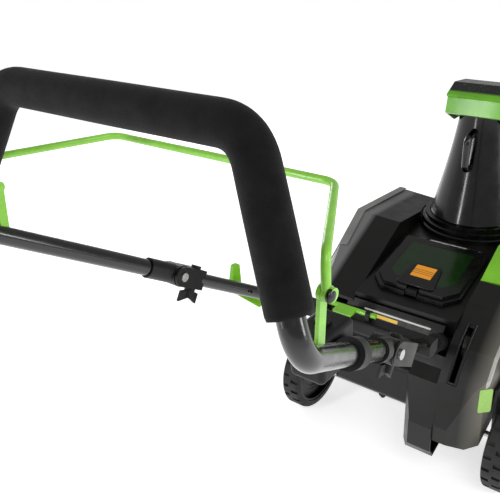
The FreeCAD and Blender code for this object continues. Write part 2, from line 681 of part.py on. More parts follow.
def battery():
    w = BAY_HALF_W - PACK_CLEAR
    y0 = BAY_FRONT_Y + PACK_CLEAR
    y1 = BAY_REAR_Y - PACK_CLEAR - 8
    z0 = BAY_FLOOR_Z + 14
    room = block(-BAY_HALF_W, BAY_HALF_W, BAY_FRONT_Y, BAY_REAR_Y, BAY_FLOOR_Z + BAY_WALL, 420)
    nodes["battery_tray"] = tray_box(-SEAT).cut(room)
    pack = block(-w, w, y0, y1, z0, z0 + PACK_H)
    upright = [e for e in pack.Edges if abs(e.tangentAt(e.FirstParameter).z) > 0.9]
    pack = pack.makeFillet(8.0, upright)
    for side in (1, -1):
        pack = pack.cut(block(side * w - 4, side * w + 4, y0 + 30, y0 + 44, z0 - 1, z0 + PACK_H - 30))
    grip_z = z0 + PACK_H - 24
    pack = pack.cut(block(-26, 26, y1 - 16, y1 + 1, grip_z, z0 + PACK_H + 1))
    pack = pack.cut(block(-12 - SEAT, 12 + SEAT, y1 - 14 - SEAT, y1 - 6 + SEAT, grip_z - 8, grip_z + 1))
    slots = block(-20, 20, y0 + 60, y0 + 74, z0 - 1, z0 + 12)
    nodes["battery_pack"] = pack.cut(slots)
    blades = []
    for x in (-14, -5, 5, 14):
        blades.append(block(x - 1, x + 1, y0 + 62, y0 + 72, BAY_FLOOR_Z + 7, z0 + 9))
    terminal = block(-19, 19, y0 + 56, y0 + 78, BAY_FLOOR_Z + BAY_WALL, BAY_FLOOR_Z + 8)
    for blade in blades:
        terminal = terminal.fuse(blade)
    nodes["terminal_block"] = terminal
    button_z = grip_z - 8 + GAP + BUTTON_TRAVEL
    nodes["battery_button"] = block(-12, 12, y1 - 14, y1 - 6, button_z, grip_z + 5)


# ---- side pods ------------------------------------------------------------
def pod_section(y, inner_z, outer_x, shoulder_z, top_x, top_z, floor_z):
    return [
        V(DECK_HALF_W + SEAT, y, floor_z),
        V(outer_x, y, floor_z),
        V(outer_x, y, shoulder_z),
        V(top_x, y, top_z),
        V(DECK_HALF_W + SEAT, y, inner_z),
    ]




def shell_pod(stations):
    """A faceted shell with an open floor through a list of stations."""
    outer = loft([pod_section(*s) for s in stations])
    inner = []
    for y, inner_z, outer_x, shoulder_z, top_x, top_z, floor_z in stations:
        section = [
            V(DECK_HALF_W + SEAT + 3, y, floor_z - 1),
            V(outer_x - 3, y, floor_z - 1),
            V(outer_x - 3, y, shoulder_z - 2),
            V(top_x - 2, y, top_z - 4),
            V(DECK_HALF_W + SEAT + 3, y, inner_z - 4),
        ]
        inner.append(section)
    inner[0] = [p.add(V(0, -3 if stations[0][0] > stations[-1][0] else 3, 0)) for p in inner[0]]
    inner[-1] = [p.add(V(0, 3 if stations[0][0] > stations[-1][0] else -3, 0)) for p in inner[-1]]
    return outer.cut(loft(inner))


def pods():
    left = shell_pod([POD_TAIL, POD_BACK, POD_PEAK, POD_FRONT, POD_NOSE])
    skirt = block(BODY_LEFT_X + SEAT, 196, -140, 28, 242, POD_FLOOR)
    skirt = skirt.cut(block(BODY_LEFT_X + SEAT - 1, 193, -137, 25, 240, POD_FLOOR + 1))
    ring = Part.makeCylinder(CHUTE_RING_R + SEAT, 80, V(0, CHUTE_Y, DECK_RING_Z - SEAT))
    nodes["left_pod"] = left.fuse(skirt).cut(ring).cut(rear_panel_block(SEAT)).removeSplitter()
    back = (-88, 394, 232, 346, 206, 402, POD_FLOOR)
    right = shell_pod([back, POD_PEAK, POD_FRONT, POD_NOSE])
    nodes["right_pod"] = mirrored(right).cut(ring)
    strip = []
    for y, inner_z, outer_x, shoulder_z, top_x, top_z, floor_z in (POD_BACK, POD_PEAK, POD_FRONT):
        strip.append([
            V(outer_x + 0.3, y, shoulder_z + 2),
            V(outer_x + 3, y, shoulder_z + 4),
            V(top_x + 3, y, top_z + 3),
            V(top_x - 16, y, top_z + 2.6),
            V(top_x + 0.3, y, top_z + 0.3),
        ])
    nodes["left_trim"] = loft(strip)


def rear_panel_block(grow):
    """The rear panel's solid between the cover and the left pod."""
    y0, z0 = BODY_REAR_Y + 22, BODY_TOP_Z - 34
    y1, z1 = DECK_REAR_Y + 5, DECK_REAR_Z - 12
    seat_y = BODY_REAR_Y + SEAT
    outline = [
        (y0 + grow, z0 - grow), (y1 + grow, z1 + grow), (y1 - 4 - grow, z1 - 2 + grow),
        (seat_y - grow, BODY_TOP_Z + 2), (seat_y - grow, z0 - grow),
    ]
    return side_prism(outline, COVER_TAIL_X - 40, BODY_LEFT_X - 44 + grow)


def rear_panel():
    """Sloping gray panel under the lid, with the label strip on it."""
    y0, z0 = BODY_REAR_Y + 22, BODY_TOP_Z - 34
    y1, z1 = DECK_REAR_Y + 5, DECK_REAR_Z - 12
    nodes["rear_panel"] = rear_panel_block(0).cut(cover_block(SEAT))
    run = V(0, y1 - y0, z1 - z0)
    length = run.Length
    run = run.normalize()
    out = V(0, run.z, -run.y)
    start = V(0, y0, z0).add(run * (0.42 * length))
    label = Part.makePolygon([
        start.add(V(-66, 0, 0)), start.add(V(82, 0, 0)),
        start.add(V(82, 0, 0)).add(run * 26), start.add(V(-66, 0, 0)).add(run * 26), start.add(V(-66, 0, 0)),
    ])
    nodes["label_strip"] = Part.Face(label).extrude(out * 0.6)


# ---- motor and its cover --------------------------------------------------
def cover_outline(shrink=0.0):
    """Side view of the gray cover, from its top along the sloping rear to its low tail."""
    points = [
        (-84, 396), (-30, 374), (46, 318), (92, 258), (124, 176),
        (124, 140), (96, 122), (0, 152), (-84, 236),
    ]
    if shrink:
        return inset(points, shrink)
    return points


def tail_outline(shrink=0.0):
    """Side view of the part of the cover that reaches in behind the body."""
    rear = BODY_REAR_Y + 24
    points = [(rear, 292), (72, 272), (94, 252), (128, 168), (128, 112), (112, 88), (rear, 104)]
    if shrink:
        return inset(points, shrink)
    return points


def corner_wedge(x0, y0, x1, y1):
    """An upright triangular cutter that takes a corner off in plan."""
    far = 160
    corners = [V(x0, y0, 0), V(x1, y1, 0), V(x1, far, 0), V(x0, far, 0), V(x0, y0, 0)]
    return Part.Face(Part.makePolygon(corners)).extrude(V(0, 0, 420))


def cover_block(grow):
    """The gray cover's outside with its slanted rear corners, grown by a clearance."""
    shrink = -grow
    main = side_prism(cover_outline(shrink), COVER_OUTER_X + shrink, COVER_INNER_X - shrink)
    tail = side_prism(tail_outline(shrink), COVER_INNER_X - 10, COVER_TAIL_X - shrink)
    body = main.fuse(tail)
    outer = corner_wedge(COVER_OUTER_X - 10, 66 - shrink, COVER_OUTER_X + 52, 126 - shrink)
    inner = corner_wedge(COVER_TAIL_X - 22, 126 - shrink, COVER_TAIL_X + 10, 84 - shrink)
    return body.cut(outer).cut(inner)


def motor_cover():
    cover = cover_block(0).cut(cover_block(-COVER_WALL))
    start = V(COVER_OUTER_X - 5, MOTOR_Y, MOTOR_Z)
    shaft_hole = rod(start, start.add(X_AXIS * 15), MOTOR_SHAFT_R + 3)
    x = (COVER_OUTER_X + COVER_INNER_X) / 2 + 18
    slot = block(x - SLOT_W / 2, x + SLOT_W / 2, 8, 8 + SLOT_L * 0.72, 240, 380)
    nodes["motor_cover"] = cover.cut(shaft_hole).cut(slot)
    rim = side_prism(cover_outline(), COVER_OUTER_X - 5, COVER_OUTER_X)
    rim = rim.cut(side_prism(cover_outline(9), COVER_OUTER_X - 6, COVER_OUTER_X + 1))
    rim = rim.cut(corner_wedge(COVER_OUTER_X - 10, 66, COVER_OUTER_X + 52, 126))
    band = capsule(AUGER_PULLEY_R + BELT_T + 14, MOTOR_PULLEY_R + BELT_T + 14, -300, COVER_OUTER_X + 1)
    solids = sorted(rim.cut(band).Solids, key=lambda piece: piece.Volume)
    nodes["cover_rim"] = solids[-1]


def motor():
    x0 = COVER_OUTER_X + COVER_WALL + 3
    x1 = x0 + MOTOR_L
    can = rod(V(x0, MOTOR_Y, MOTOR_Z), V(x1, MOTOR_Y, MOTOR_Z), MOTOR_R)
    can = can.cut(rod(V(x0 + 4, MOTOR_Y, MOTOR_Z), V(x1 - 4, MOTOR_Y, MOTOR_Z), MOTOR_R - 4))
    can = can.cut(rod(V(x0 - 1, MOTOR_Y, MOTOR_Z), V(x1 + 1, MOTOR_Y, MOTOR_Z), MOTOR_SHAFT_R + RUN))
    stator = pipe(V(x0 + 8, MOTOR_Y, MOTOR_Z), V(x1 - 8, MOTOR_Y, MOTOR_Z), MOTOR_R - 4, MOTOR_R - 16)
    for n in range(12):
        angle = math.pi / 6 * n
        y = MOTOR_Y + (MOTOR_R - 13) * math.cos(angle)
        z = MOTOR_Z + (MOTOR_R - 13) * math.sin(angle)
        stator = stator.cut(rod(V(x0 + 8, y, z), V(x1 - 8, y, z), 3.4))
    nodes["motor_can"] = can.fuse(stator).removeSplitter()
    shaft_end = BELT_X - PULLEY_W / 2 - 1
    shaft = rod(V(shaft_end, MOTOR_Y, MOTOR_Z), V(x1 + 6, MOTOR_Y, MOTOR_Z), MOTOR_SHAFT_R)
    drum = rod(V(x0 + 10, MOTOR_Y, MOTOR_Z), V(x1 - 10, MOTOR_Y, MOTOR_Z), MOTOR_R - 16 - 1.0)
    nodes["motor_rotor"] = shaft.fuse(drum).removeSplitter()
    nodes["motor_pulley"] = pulley(MOTOR_Y, MOTOR_Z, MOTOR_PULLEY_R, MOTOR_SHAFT_R, 0)


# ---- chute ----------------------------------------------------------------
def turned(profile):
    """A ring about the chute's axis from (radius, Z) points."""
    corners = [V(r, 0, z) for r, z in profile]
    face = Part.Face(Part.makePolygon(corners + corners[:1]))
    ring = face.revolve(V(0, 0, 0), Z_AXIS, 360)
    ring.translate(V(0, CHUTE_Y, 0))
    return ring


def chute_ring():
    """Stepped collar fixed on the deck, with a lip that holds the turning chute down."""
    z = DECK_RING_Z
    top = z + CHUTE_RING_H
    rim = CHUTE_BASE_R + 6
    nodes["chute_ring"] = turned([
        (CHUTE_BORE_R, z),
        (CHUTE_RING_R, z),
        (CHUTE_RING_R, z + 10),
        (CHUTE_RING_R - 4, z + 12),
        (CHUTE_RING_R - 4, z + 22),
        (CHUTE_RING_R - 9, z + 24),
        (CHUTE_RING_R - 9, top),
        (rim - 4, top),
        (rim - 4, top - 4),
        (rim + GAP, top - 4),
        (rim + GAP, z + 20),
        (CHUTE_BORE_R, z + 20),
    ])


def chute_tube():
    """Turning chute: a foot ring under the collar's lip, then a tapered tube open at the front."""
    z = DECK_RING_Z + 20 + GAP
    top = DECK_RING_Z + CHUTE_RING_H
    rim = CHUTE_BASE_R + 6
    outer = [
        (rim, z), (rim, top - 4 - GAP), (rim - 4 - GAP, top - 4 - GAP), (rim - 4 - GAP, top + 3),
        (84, top + 52), (68, top + 112), (CHUTE_TOP_R + 2, top + 190), (CHUTE_TOP_R, top + CHUTE_H),
    ]
    inner = [(max(r - CHUTE_WALL, 20), h) for r, h in reversed(outer[3:])]
    inner[0] = (CHUTE_TOP_R - CHUTE_WALL, top + CHUTE_H)
    tube = turned(outer + inner + [(rim - 4 - GAP - CHUTE_WALL - 6, z)])
    window = block(-120, 120, CHUTE_Y - 160, CHUTE_Y - 14, top + 92, top + CHUTE_H + 1)
    tube = tube.cut(window)
    for side in (1, -1):
        x = side * (CHUTE_TOP_R + 1)
        low, high = sorted((x, x - side * 5))
        rib = block(low, high, CHUTE_Y - 14, CHUTE_Y - 4, top + 150, top + CHUTE_H)
        tube = tube.fuse(rib)
    pivots = rod(V(-90, CHUTE_Y, deflector_z()), V(90, CHUTE_Y, deflector_z()), 4.0)
    nodes["chute_tube"] = tube.cut(pivots).removeSplitter()
    handle_y = CHUTE_Y + CHUTE_TOP_R
    path = [
        V(0, handle_y - 1, top + 120), V(0, handle_y + 38, top + 128),
        V(0, handle_y + 38, top + 194), V(0, handle_y - 1, top + 202),
    ]
    loop = swept(path, [14, 14], 7.5).cut(tube)
    nodes["chute_handle"] = max(loop.Solids, key=lambda piece: piece.Volume)


def deflector_z():
    return DECK_RING_Z + CHUTE_RING_H + CHUTE_H - 22


def deflector():
    """Hood that tips on two bolts at the top of the chute."""
    half = CHUTE_TOP_R + 3 + GAP
    wall = 3.0
    z = deflector_z()
    outline = [
        (CHUTE_Y + 26, z - 14), (CHUTE_Y + 74, z + 12), (CHUTE_Y + 66, z + 44), (CHUTE_Y + 30, z + 62),
        (CHUTE_Y - DEFLECTOR_L, z + 48), (CHUTE_Y - DEFLECTOR_L - 34, z + 10), (CHUTE_Y - 26, z - 14),
    ]
    outer = side_prism(outline, -half - wall, half + wall)
    room = side_prism(
        [
            (CHUTE_Y + 20, z - 30), (CHUTE_Y + 70.5, z + 10.8), (CHUTE_Y + 63, z + 41.6),
            (CHUTE_Y + 29.6, z + 58.8), (CHUTE_Y - DEFLECTOR_L + 2, z + 45.2),
            (CHUTE_Y - DEFLECTOR_L - 40, z + 6), (CHUTE_Y - 20, z - 30),
        ],
        -half, half,
    )
    hood = outer.cut(room).cut(block(-half, half, CHUTE_Y + 40, CHUTE_Y + 90, z - 20, z + 8))
    bolts = rod(V(-90, CHUTE_Y, z), V(90, CHUTE_Y, z), 4.0 - RUN)
    nodes["deflector_hood"] = hood.cut(bolts)
    cap = side_prism(
        [
            (CHUTE_Y + 66, z + 44.6), (CHUTE_Y + 68, z + 50), (CHUTE_Y + 30, z + 69),
            (CHUTE_Y - 30, z + 63), (CHUTE_Y - 30, z + 56), (CHUTE_Y + 30, z + 62.4),
        ],
        -half - wall - 2, half + wall + 2,
    )
    nodes["deflector_cap"] = cap.cut(outer)
    pins = []
    for side in (1, -1):
        a = V(side * (CHUTE_TOP_R - CHUTE_WALL - 3), CHUTE_Y, z)
        b = V(side * (half + wall), CHUTE_Y, z)
        head = V(side * (half + wall + 5), CHUTE_Y, z)
        pins.append(rod(a, b, 4.0 - RUN).fuse(rod(b, head, 8.0)))
    nodes["deflector_bolts"] = Part.makeCompound(pins)


# ---- handle ---------------------------------------------------------------
def grip_points():
    """Centre line of the grip loop, from the left fold hinge to the right one."""
    left = [FOLD.sub(HANDLE_DIR * (KNUCKLE_R - 4)), HANDLE_KNEE, GRIP_CORNER]
    right = [V(-p.x, p.y, p.z) for p in reversed(left)]
    return left + right


def upper_handle():
    points = grip_points()
    radii = [KNEE_BEND_R, GRIP_BEND_R, GRIP_BEND_R, KNEE_BEND_R]
    tube = swept(points, radii, TUBE_R).cut(swept(points, radii, TUBE_R - TUBE_WALL))
    nodes["handle_loop"] = tube
    to_corner = GRIP_CORNER.sub(HANDLE_KNEE).normalize()
    foam_start = HANDLE_KNEE.add(to_corner * (KNEE_BEND_R * 0.85 + 3))
    foam = [foam_start, GRIP_CORNER]
    foam += [V(-p.x, p.y, p.z) for p in reversed(foam)]
    bends = [GRIP_BEND_R, GRIP_BEND_R]
    nodes["foam_grip"] = swept(foam, bends, GRIP_R).cut(swept(foam, bends, TUBE_R + 0.2))

    knuckles = []
    for side in (1, -1):
        place = V(side * FOLD.x, FOLD.y, FOLD.z)
        back = V(-side * HANDLE_DIR.x, -HANDLE_DIR.y, -HANDLE_DIR.z)
        body = rod(place.sub(V(KNUCKLE_HALF_W, 0, 0)), place.add(V(KNUCKLE_HALF_W, 0, 0)), KNUCKLE_R)
        sleeve = rod(place, place.add(back * 54), TUBE_R + 3)
        slab = block(place.x - KNUCKLE_HALF_W, place.x + KNUCKLE_HALF_W, 0, 900, 0, 900)
        body = body.fuse(sleeve.common(slab))
        body = body.fuse(rod(place.add(back * 26), place.add(back * 54), TUBE_R + 3))
        body = body.cut(rod(place.add(back * (KNUCKLE_R - 4)), place.add(back * 60), TUBE_R))
        knuckles.append(body.cut(rod(place.sub(X_AXIS * 30), place.add(X_AXIS * 30), FOLD_PIN_R + RUN)))
    nodes["fold_knuckles"] = Part.makeCompound(knuckles)


def lower_handle():
    """Lower tubes, forks, hinge pins and lock knobs on both sides."""
    tubes = []
    forks = []
    pins = []
    for name, side in (("left", 1), ("right", -1)):
        place = V(side * FOLD.x, FOLD.y, FOLD.z)
        down = V(side * HANDLE_DIR.x, HANDLE_DIR.y, HANDLE_DIR.z)
        foot = V(side * HANDLE_FOOT.x, HANDLE_FOOT.y, HANDLE_FOOT.z)
        top = place.add(down * (KNUCKLE_R + 6))
        bolt_at, bolt_dir = knob_line(place, down)
        bolt_hole = rod(bolt_at.sub(bolt_dir * 60), bolt_at.add(bolt_dir * 60), KNOB_BOLT_R + RUN)
        tube = pipe(top, foot, LOWER_TUBE_R, LOWER_TUBE_R - TUBE_WALL).cut(bolt_hole)
        if side == 1:
            tube = tube.fuse(lever_pin(0)).cut(rod(top, foot, LOWER_TUBE_R - TUBE_WALL))
        tubes.append(tube)
        forks.append(fork_body(place, down).cut(rod(top, foot, LOWER_TUBE_R)).cut(bolt_hole))
        reach = KNUCKLE_HALF_W + GAP + CHEEK_T
        pin = rod(place.sub(X_AXIS * reach), place.add(X_AXIS * reach), FOLD_PIN_R)
        for end in (1, -1):
            face = place.add(X_AXIS * end * reach)
            pin = pin.fuse(rod(face, face.add(X_AXIS * end * 3), FOLD_PIN_R + 3))
        pins.append(pin)
        nodes["knob_" + name] = lock_knob(bolt_at, bolt_dir)
    nodes["lower_tubes"] = Part.makeCompound(tubes)
    nodes["fold_forks"] = Part.makeCompound(forks)
    nodes["fold_pins"] = Part.makeCompound(pins)


def knob_line(place, down):
    """A point and a direction for the lock knob's bolt, square to the tube and pointing down."""
    square = down.cross(X_AXIS).normalize()
    if square.z > 0:
        square = square * -1
    return place.add(down * KNOB_AT), square


def fork_body(place, down):
    """Two cheeks beside the knuckle and a block round the lower tube's top."""
    reach = KNUCKLE_HALF_W + GAP
    cheeks = []
    for end in (1, -1):
        a = place.add(X_AXIS * end * reach)
        b = place.add(X_AXIS * end * (reach + CHEEK_T))
        disc = rod(a, b, KNUCKLE_R - 1)
        cheeks.append(disc)
    square = down.cross(X_AXIS).normalize()
    run = X_AXIS.cross(square).normalize()
    if run.y > 0:
        run = run * -1
    half = KNUCKLE_R - 1
    solid = None
    for end in (1, -1):
        x0 = place.x + end * reach
        corner = [
            place.add(square * half), place.add(square * half).add(run * FORK_L),
            place.sub(square * half).add(run * FORK_L), place.sub(square * half),
        ]
        corner = [V(x0, p.y, p.z) for p in corner]
        plate = Part.Face(Part.makePolygon(corner + corner[:1])).extrude(V(end * CHEEK_T, 0, 0))
        plate = plate.fuse(cheeks[0 if end == 1 else 1])
        solid = plate if solid is None else solid.fuse(plate)
    core = [
        place.add(square * half).add(run * (KNUCKLE_R + 3)), place.add(square * half).add(run * FORK_L),
        place.sub(square * half).add(run * FORK_L), place.sub(square * half).add(run * (KNUCKLE_R + 3)),
    ]
    core = [V(place.x - reach - 0.1, p.y, p.z) for p in core]
    middle = Part.Face(Part.makePolygon(core + core[:1])).extrude(V(2 * reach + 0.2, 0, 0))
    fork = solid.fuse(middle).removeSplitter()
    return fork.cut(rod(place.sub(X_AXIS * 40), place.add(X_AXIS * 40), FOLD_PIN_R))


def lock_knob(place, down):
    """Bolt with a round head above the fork and a two-winged knob under it."""
    top = place.sub(down * (KNUCKLE_R - 1 + GAP))
    low = place.add(down * (KNUCKLE_R - 1 + GAP))
    bolt = rod(top, low.add(down * 10), KNOB_BOLT_R)
    bolt = bolt.fuse(rod(top.sub(down * 4), top, 8.0))
    hub = rod(low, low.add(down * 16), 8.5)
    wings = None
    for end in (1, -1):
        wing = loft([
            [low.add(down * 3).add(V(-3.5, 0, 0)), low.add(down * 3).add(V(3.5, 0, 0)),
             low.add(down * 15).add(V(3.5, 0, 0)), low.add(down * 15).add(V(-3.5, 0, 0))],
            wing_tip(low, down, end),
        ])
        wings = wing if wings is None else wings.fuse(wing)
    return bolt.fuse(hub).fuse(wings).removeSplitter()


def wing_tip(low, down, end):
    out = down.cross(X_AXIS).normalize() * (end * 21)
    base = low.add(out)
    return [
        base.add(down * 7).add(V(-2.2, 0, 0)), base.add(down * 7).add(V(2.2, 0, 0)),
        base.add(down * 24).add(V(2.2, 0, 0)), base.add(down * 24).add(V(-2.2, 0, 0)),
    ]


def sockets():
    """Black collars on the machine that hold the feet of the lower tubes, and the bridge between them."""
    collars = []
    holes = []
    for side in (1, -1):
        foot = V(side * HANDLE_FOOT.x, HANDLE_FOOT.y, HANDLE_FOOT.z)
        up = V(-side * HANDLE_DIR.x, -HANDLE_DIR.y, -HANDLE_DIR.z)
        tube = rod(foot.sub(up * 60), foot.add(up * 300), LOWER_TUBE_R)
        collar = rod(foot, foot.add(up * 58), TUBE_R + 5)
        holes.append(tube)
        collars.append(collar.cut(tube).cut(cover_block(SEAT)).cut(rear_panel_block(SEAT)))
    nodes["tube_sockets"] = Part.makeCompound(collars)
    at = along_handle(BRIDGE_AT)
    bridge = block(-at.x - TUBE_R - 5, at.x + TUBE_R + 5, at.y - 15, at.y + 15, at.z - 16, at.z + 12)
    long_edges = [e for e in bridge.Edges if abs(e.tangentAt(e.FirstParameter).x) > 0.9]
    bridge = bridge.makeFillet(6.0, long_edges)
    bridge = bridge.cut(holes[0]).cut(holes[1])
    for x in (LOCK_BAR_X0 + 14, LOCK_BAR_X1 - 14):
        ear = block(x - 4, x + 4, at.y - 8, at.y + 8, at.z + 11, lock_bar_axis().z)
        tip = V(x - 4, lock_bar_axis().y, lock_bar_axis().z)
        ear = ear.fuse(rod(tip, tip.add(V(8, 0, 0)), 8.0))
        bridge = bridge.fuse(ear)
    nodes["handle_bridge"] = bridge.cut(lock_bar_rod(LOCK_BAR_R + RUN)).removeSplitter()


def lock_bar_axis():
    at = along_handle(BRIDGE_AT)
    return V(0, at.y, at.z + 22)


def lock_bar_rod(radius):
    axis = lock_bar_axis()
    return rod(V(LOCK_BAR_X0, axis.y, axis.z), V(LOCK_BAR_X1, axis.y, axis.z), radius)


def lock_bar():
    """Green release bar that turns in the bridge's ears, with a thumb tab between them."""
    axis = lock_bar_axis()
    middle = (LOCK_BAR_X0 + LOCK_BAR_X1) / 2
    tab = block(middle - 18, middle + 18, axis.y, axis.y + 26, axis.z - 3, axis.z + 3)
    upright = [e for e in tab.Edges if abs(e.tangentAt(e.FirstParameter).z) > 0.9]
    upright = [e for e in upright if e.CenterOfMass.y > axis.y + 20]
    nodes["lock_bar"] = lock_bar_rod(LOCK_BAR_R).fuse(tab.makeFillet(5.0, upright)).removeSplitter()


def lever_axis():
    """Start and end of the cam lever's pin, out from the left lower tube."""
    at = along_handle(LEVER_AT)
    return at.sub(X_AXIS * (TUBE_R + 2)), at.add(X_AXIS * (TUBE_R + 16))


def lever_pin(extra):
    """The lever's pin with its head; extra makes it the hole."""
    start, end = lever_axis()
    head = rod(end.sub(X_AXIS * 1.2), end.add(X_AXIS * 2), 6.0)
    return rod(start, end, 3.0 + extra).fuse(head)


def cam_lever():
    """Green quick-release lever beside the left lower tube: a crank with a long tail."""
    start, end = lever_axis()
    centre = end.sub(X_AXIS * 5)
    x0 = end.x - 10
    cam = rod(V(x0, centre.y, centre.z), V(x0 + 8, centre.y, centre.z), 10.0)
    outline = [(-12, 40), (2, 42), (12, 4), (6, -10), (-62, -74), (-72, -66), (-66, -56), (-14, -6)]
    corners = [(centre.y + y, centre.z + z) for y, z in outline]
    arm = side_prism(corners, x0, x0 + 8)
    upright = [e for e in arm.Edges if abs(e.tangentAt(e.FirstParameter).x) > 0.9]
    arm = arm.makeFillet(3.5, upright)
    nodes["cam_lever"] = arm.fuse(cam).removeSplitter().cut(lever_pin(RUN))


# ---- bail, switch box and their small parts -------------------------------
def bail():
    """Wire bail with an eye at each end, turning on two bolts beside the tubes."""
    r = BAIL_R
    eye_top = V(BAIL_EYE_X, BAIL_PIVOT.y, BAIL_PIVOT.z)
    left = [eye_top.add(V(0, 2, 4)), BAIL_SHOULDER, BAIL_BAR]
    points = left + [V(-p.x, p.y, p.z) for p in reversed(left)]
    wire = swept(points, [16, 22, 22, 16], r)
    eyes = []
    for side in (1, -1):
        a = V(side * BAIL_EYE_X - BAIL_EYE_T / 2, BAIL_PIVOT.y, BAIL_PIVOT.z)
        eyes.append(rod(a, a.add(V(BAIL_EYE_T, 0, 0)), BAIL_EYE_R))
    body = wire.fuse(eyes[0]).fuse(eyes[1])
    hole = rod(V(-300, BAIL_PIVOT.y, BAIL_PIVOT.z), V(300, BAIL_PIVOT.y, BAIL_PIVOT.z), BAIL_BOLT_R + RUN)
    for side in (1, -1):
        inner = side * (BAIL_EYE_X - BAIL_EYE_T / 2)
        wide = 12
        x0 = min(inner, inner - side * wide)
        start = V(x0, BAIL_PIVOT.y, BAIL_PIVOT.z)
        body = body.cut(rod(start, start.add(X_AXIS * wide), BAIL_EYE_R + 2))
        outer = side * (BAIL_EYE_X + BAIL_EYE_T / 2)
        start = V(min(outer, outer + side * wide), BAIL_PIVOT.y, BAIL_PIVOT.z)
        body = body.cut(rod(start, start.add(X_AXIS * wide), BAIL_EYE_R + 1))
    nodes["bail"] = body.cut(hole).removeSplitter()


def bail_brackets():
    """Green flat bars from the tubes up to the bail's bolts, and the bolts."""
    inner = BAIL_EYE_X - BAIL_EYE_T / 2 - GAP
    thick = 4.0
    share = (HANDLE_KNEE.y - (BAIL_PIVOT.y + 6)) / (HANDLE_KNEE.y - HANDLE_FOOT.y)
    base = along_handle(share)
    bars = []
    bolts = []
    for side in (1, -1):
        x0 = side * inner - (thick if side == 1 else 0)
        half = BAIL_STRIP_W / 2
        strip = [
            (BAIL_PIVOT.y - half, BAIL_PIVOT.z), (BAIL_PIVOT.y + half, BAIL_PIVOT.z),
            (base.y + half, base.z), (base.y - half, base.z - 6),
        ]
        bar = side_prism(strip, x0, x0 + thick)
        a = V(x0, BAIL_PIVOT.y, BAIL_PIVOT.z)
        bar = bar.fuse(rod(a, a.add(X_AXIS * thick), BAIL_EYE_R))
        mirror_base = V(side * base.x, base.y, base.z)
        down = V(side * HANDLE_DIR.x, HANDLE_DIR.y, HANDLE_DIR.z)
        bar = bar.cut(rod(mirror_base.sub(down * 60), mirror_base.add(down * 60), TUBE_R))
        bars.append(bar)
        far = V(side * (BAIL_EYE_X + BAIL_EYE_T / 2 + GAP), BAIL_PIVOT.y, BAIL_PIVOT.z)
        near = a if side == 1 else a.add(V(thick, 0, 0))
        bolts.append(rod(near, far, BAIL_BOLT_R).fuse(rod(far, far.add(V(side * 4, 0, 0)), 6.5)))
    nodes["bail_brackets"] = Part.makeCompound([bar.fuse(bolt) for bar, bolt in zip(bars, bolts)])


def switch_box():
    """Switch housing inboard of the right tube, with a start button on its top."""
    base = along_handle(0.2)
    x1 = -base.x + TUBE_R + 4
    y0, y1 = base.y - 34, base.y + 30
    z0, z1 = base.z - 34, base.z + 22
    box = block(x1, x1 + 44, y0, y1, z0, z1)
    box = box.makeFillet(7.0, box.Edges)
    clip = rod(V(-base.x, base.y, base.z).sub(V(-HANDLE_DIR.x, HANDLE_DIR.y, HANDLE_DIR.z) * 16),
               V(-base.x, base.y, base.z).add(V(-HANDLE_DIR.x, HANDLE_DIR.y, HANDLE_DIR.z) * 16), TUBE_R + 5)
    line = V(-HANDLE_DIR.x, HANDLE_DIR.y, HANDLE_DIR.z)
    hole = rod(V(-base.x, base.y, base.z).sub(line * 70), V(-base.x, base.y, base.z).add(line * 70), TUBE_R)
    place = V(x1 + 22, base.y - 4, z1)
    bore = Part.makeCylinder(9 + GAP, 9, place.sub(V(0, 0, 8)))
    nodes["switch_box"] = box.fuse(clip).cut(hole).cut(bore).removeSplitter()
    button = Part.makeCylinder(9, 9, place.sub(V(0, 0, 4)))
    tip = [e for e in button.Edges if abs(e.CenterOfMass.z - place.z - 5) < 0.01]
    nodes["start_button"] = button.makeFillet(1.5, tip)


# ---- assembly -------------------------------------------------------------
def build():
    wheels()
    axle_parts()
    auger()
    drive_belt()
    auger_housing()
    bearings()
    scraper()
    belt_cover()
    lower_body()
    deck()
    battery_lid()
    lid_hinge()
    lid_latch()
    battery()
    pods()
    rear_panel()
    motor_cover()
    motor()
    chute_ring()
    chute_tube()
    deflector()
    upper_handle()
    lower_handle()
    sockets()
    bail()
    bail_brackets()
    switch_box()
    lock_bar()
    cam_lever()


def centre_shift():
    """How far to move everything along Y so that its box is centred on the origin."""
    rear = max(v.y for v in nodes["foam_grip"].tessellate(0.02)[0])
    rear = max(rear, max(v.y for v in nodes["handle_loop"].tessellate(0.02)[0]))
    front = min(nodes[name].BoundBox.YMin for name in ("belt_cover", "auger_housing"))
    return -(front + rear) / 2


build()
SHIFT_Y = centre_shift()
if __name__ == "__main__":
    os.makedirs("parts", exist_ok=True)
    for name, shape in nodes.items():
        shape.translate(V(0, SHIFT_Y, 0))
        shape.exportStep("parts/" + name + ".step")
    print(len(nodes), "nodes, moved along Y by", round(SHIFT_Y, 3))
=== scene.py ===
"""Looks for the battery snow thrower: finishes for its CAD pieces, soft grip, trims and labels.

Everything is in metres in the machine's own frame: the auger mouth faces -Y, the
operator stands at +Y, +X is the operator's left and the ground is Z = 0.
"""
import bpy
import numpy as np
from mathutils import Matrix, Vector


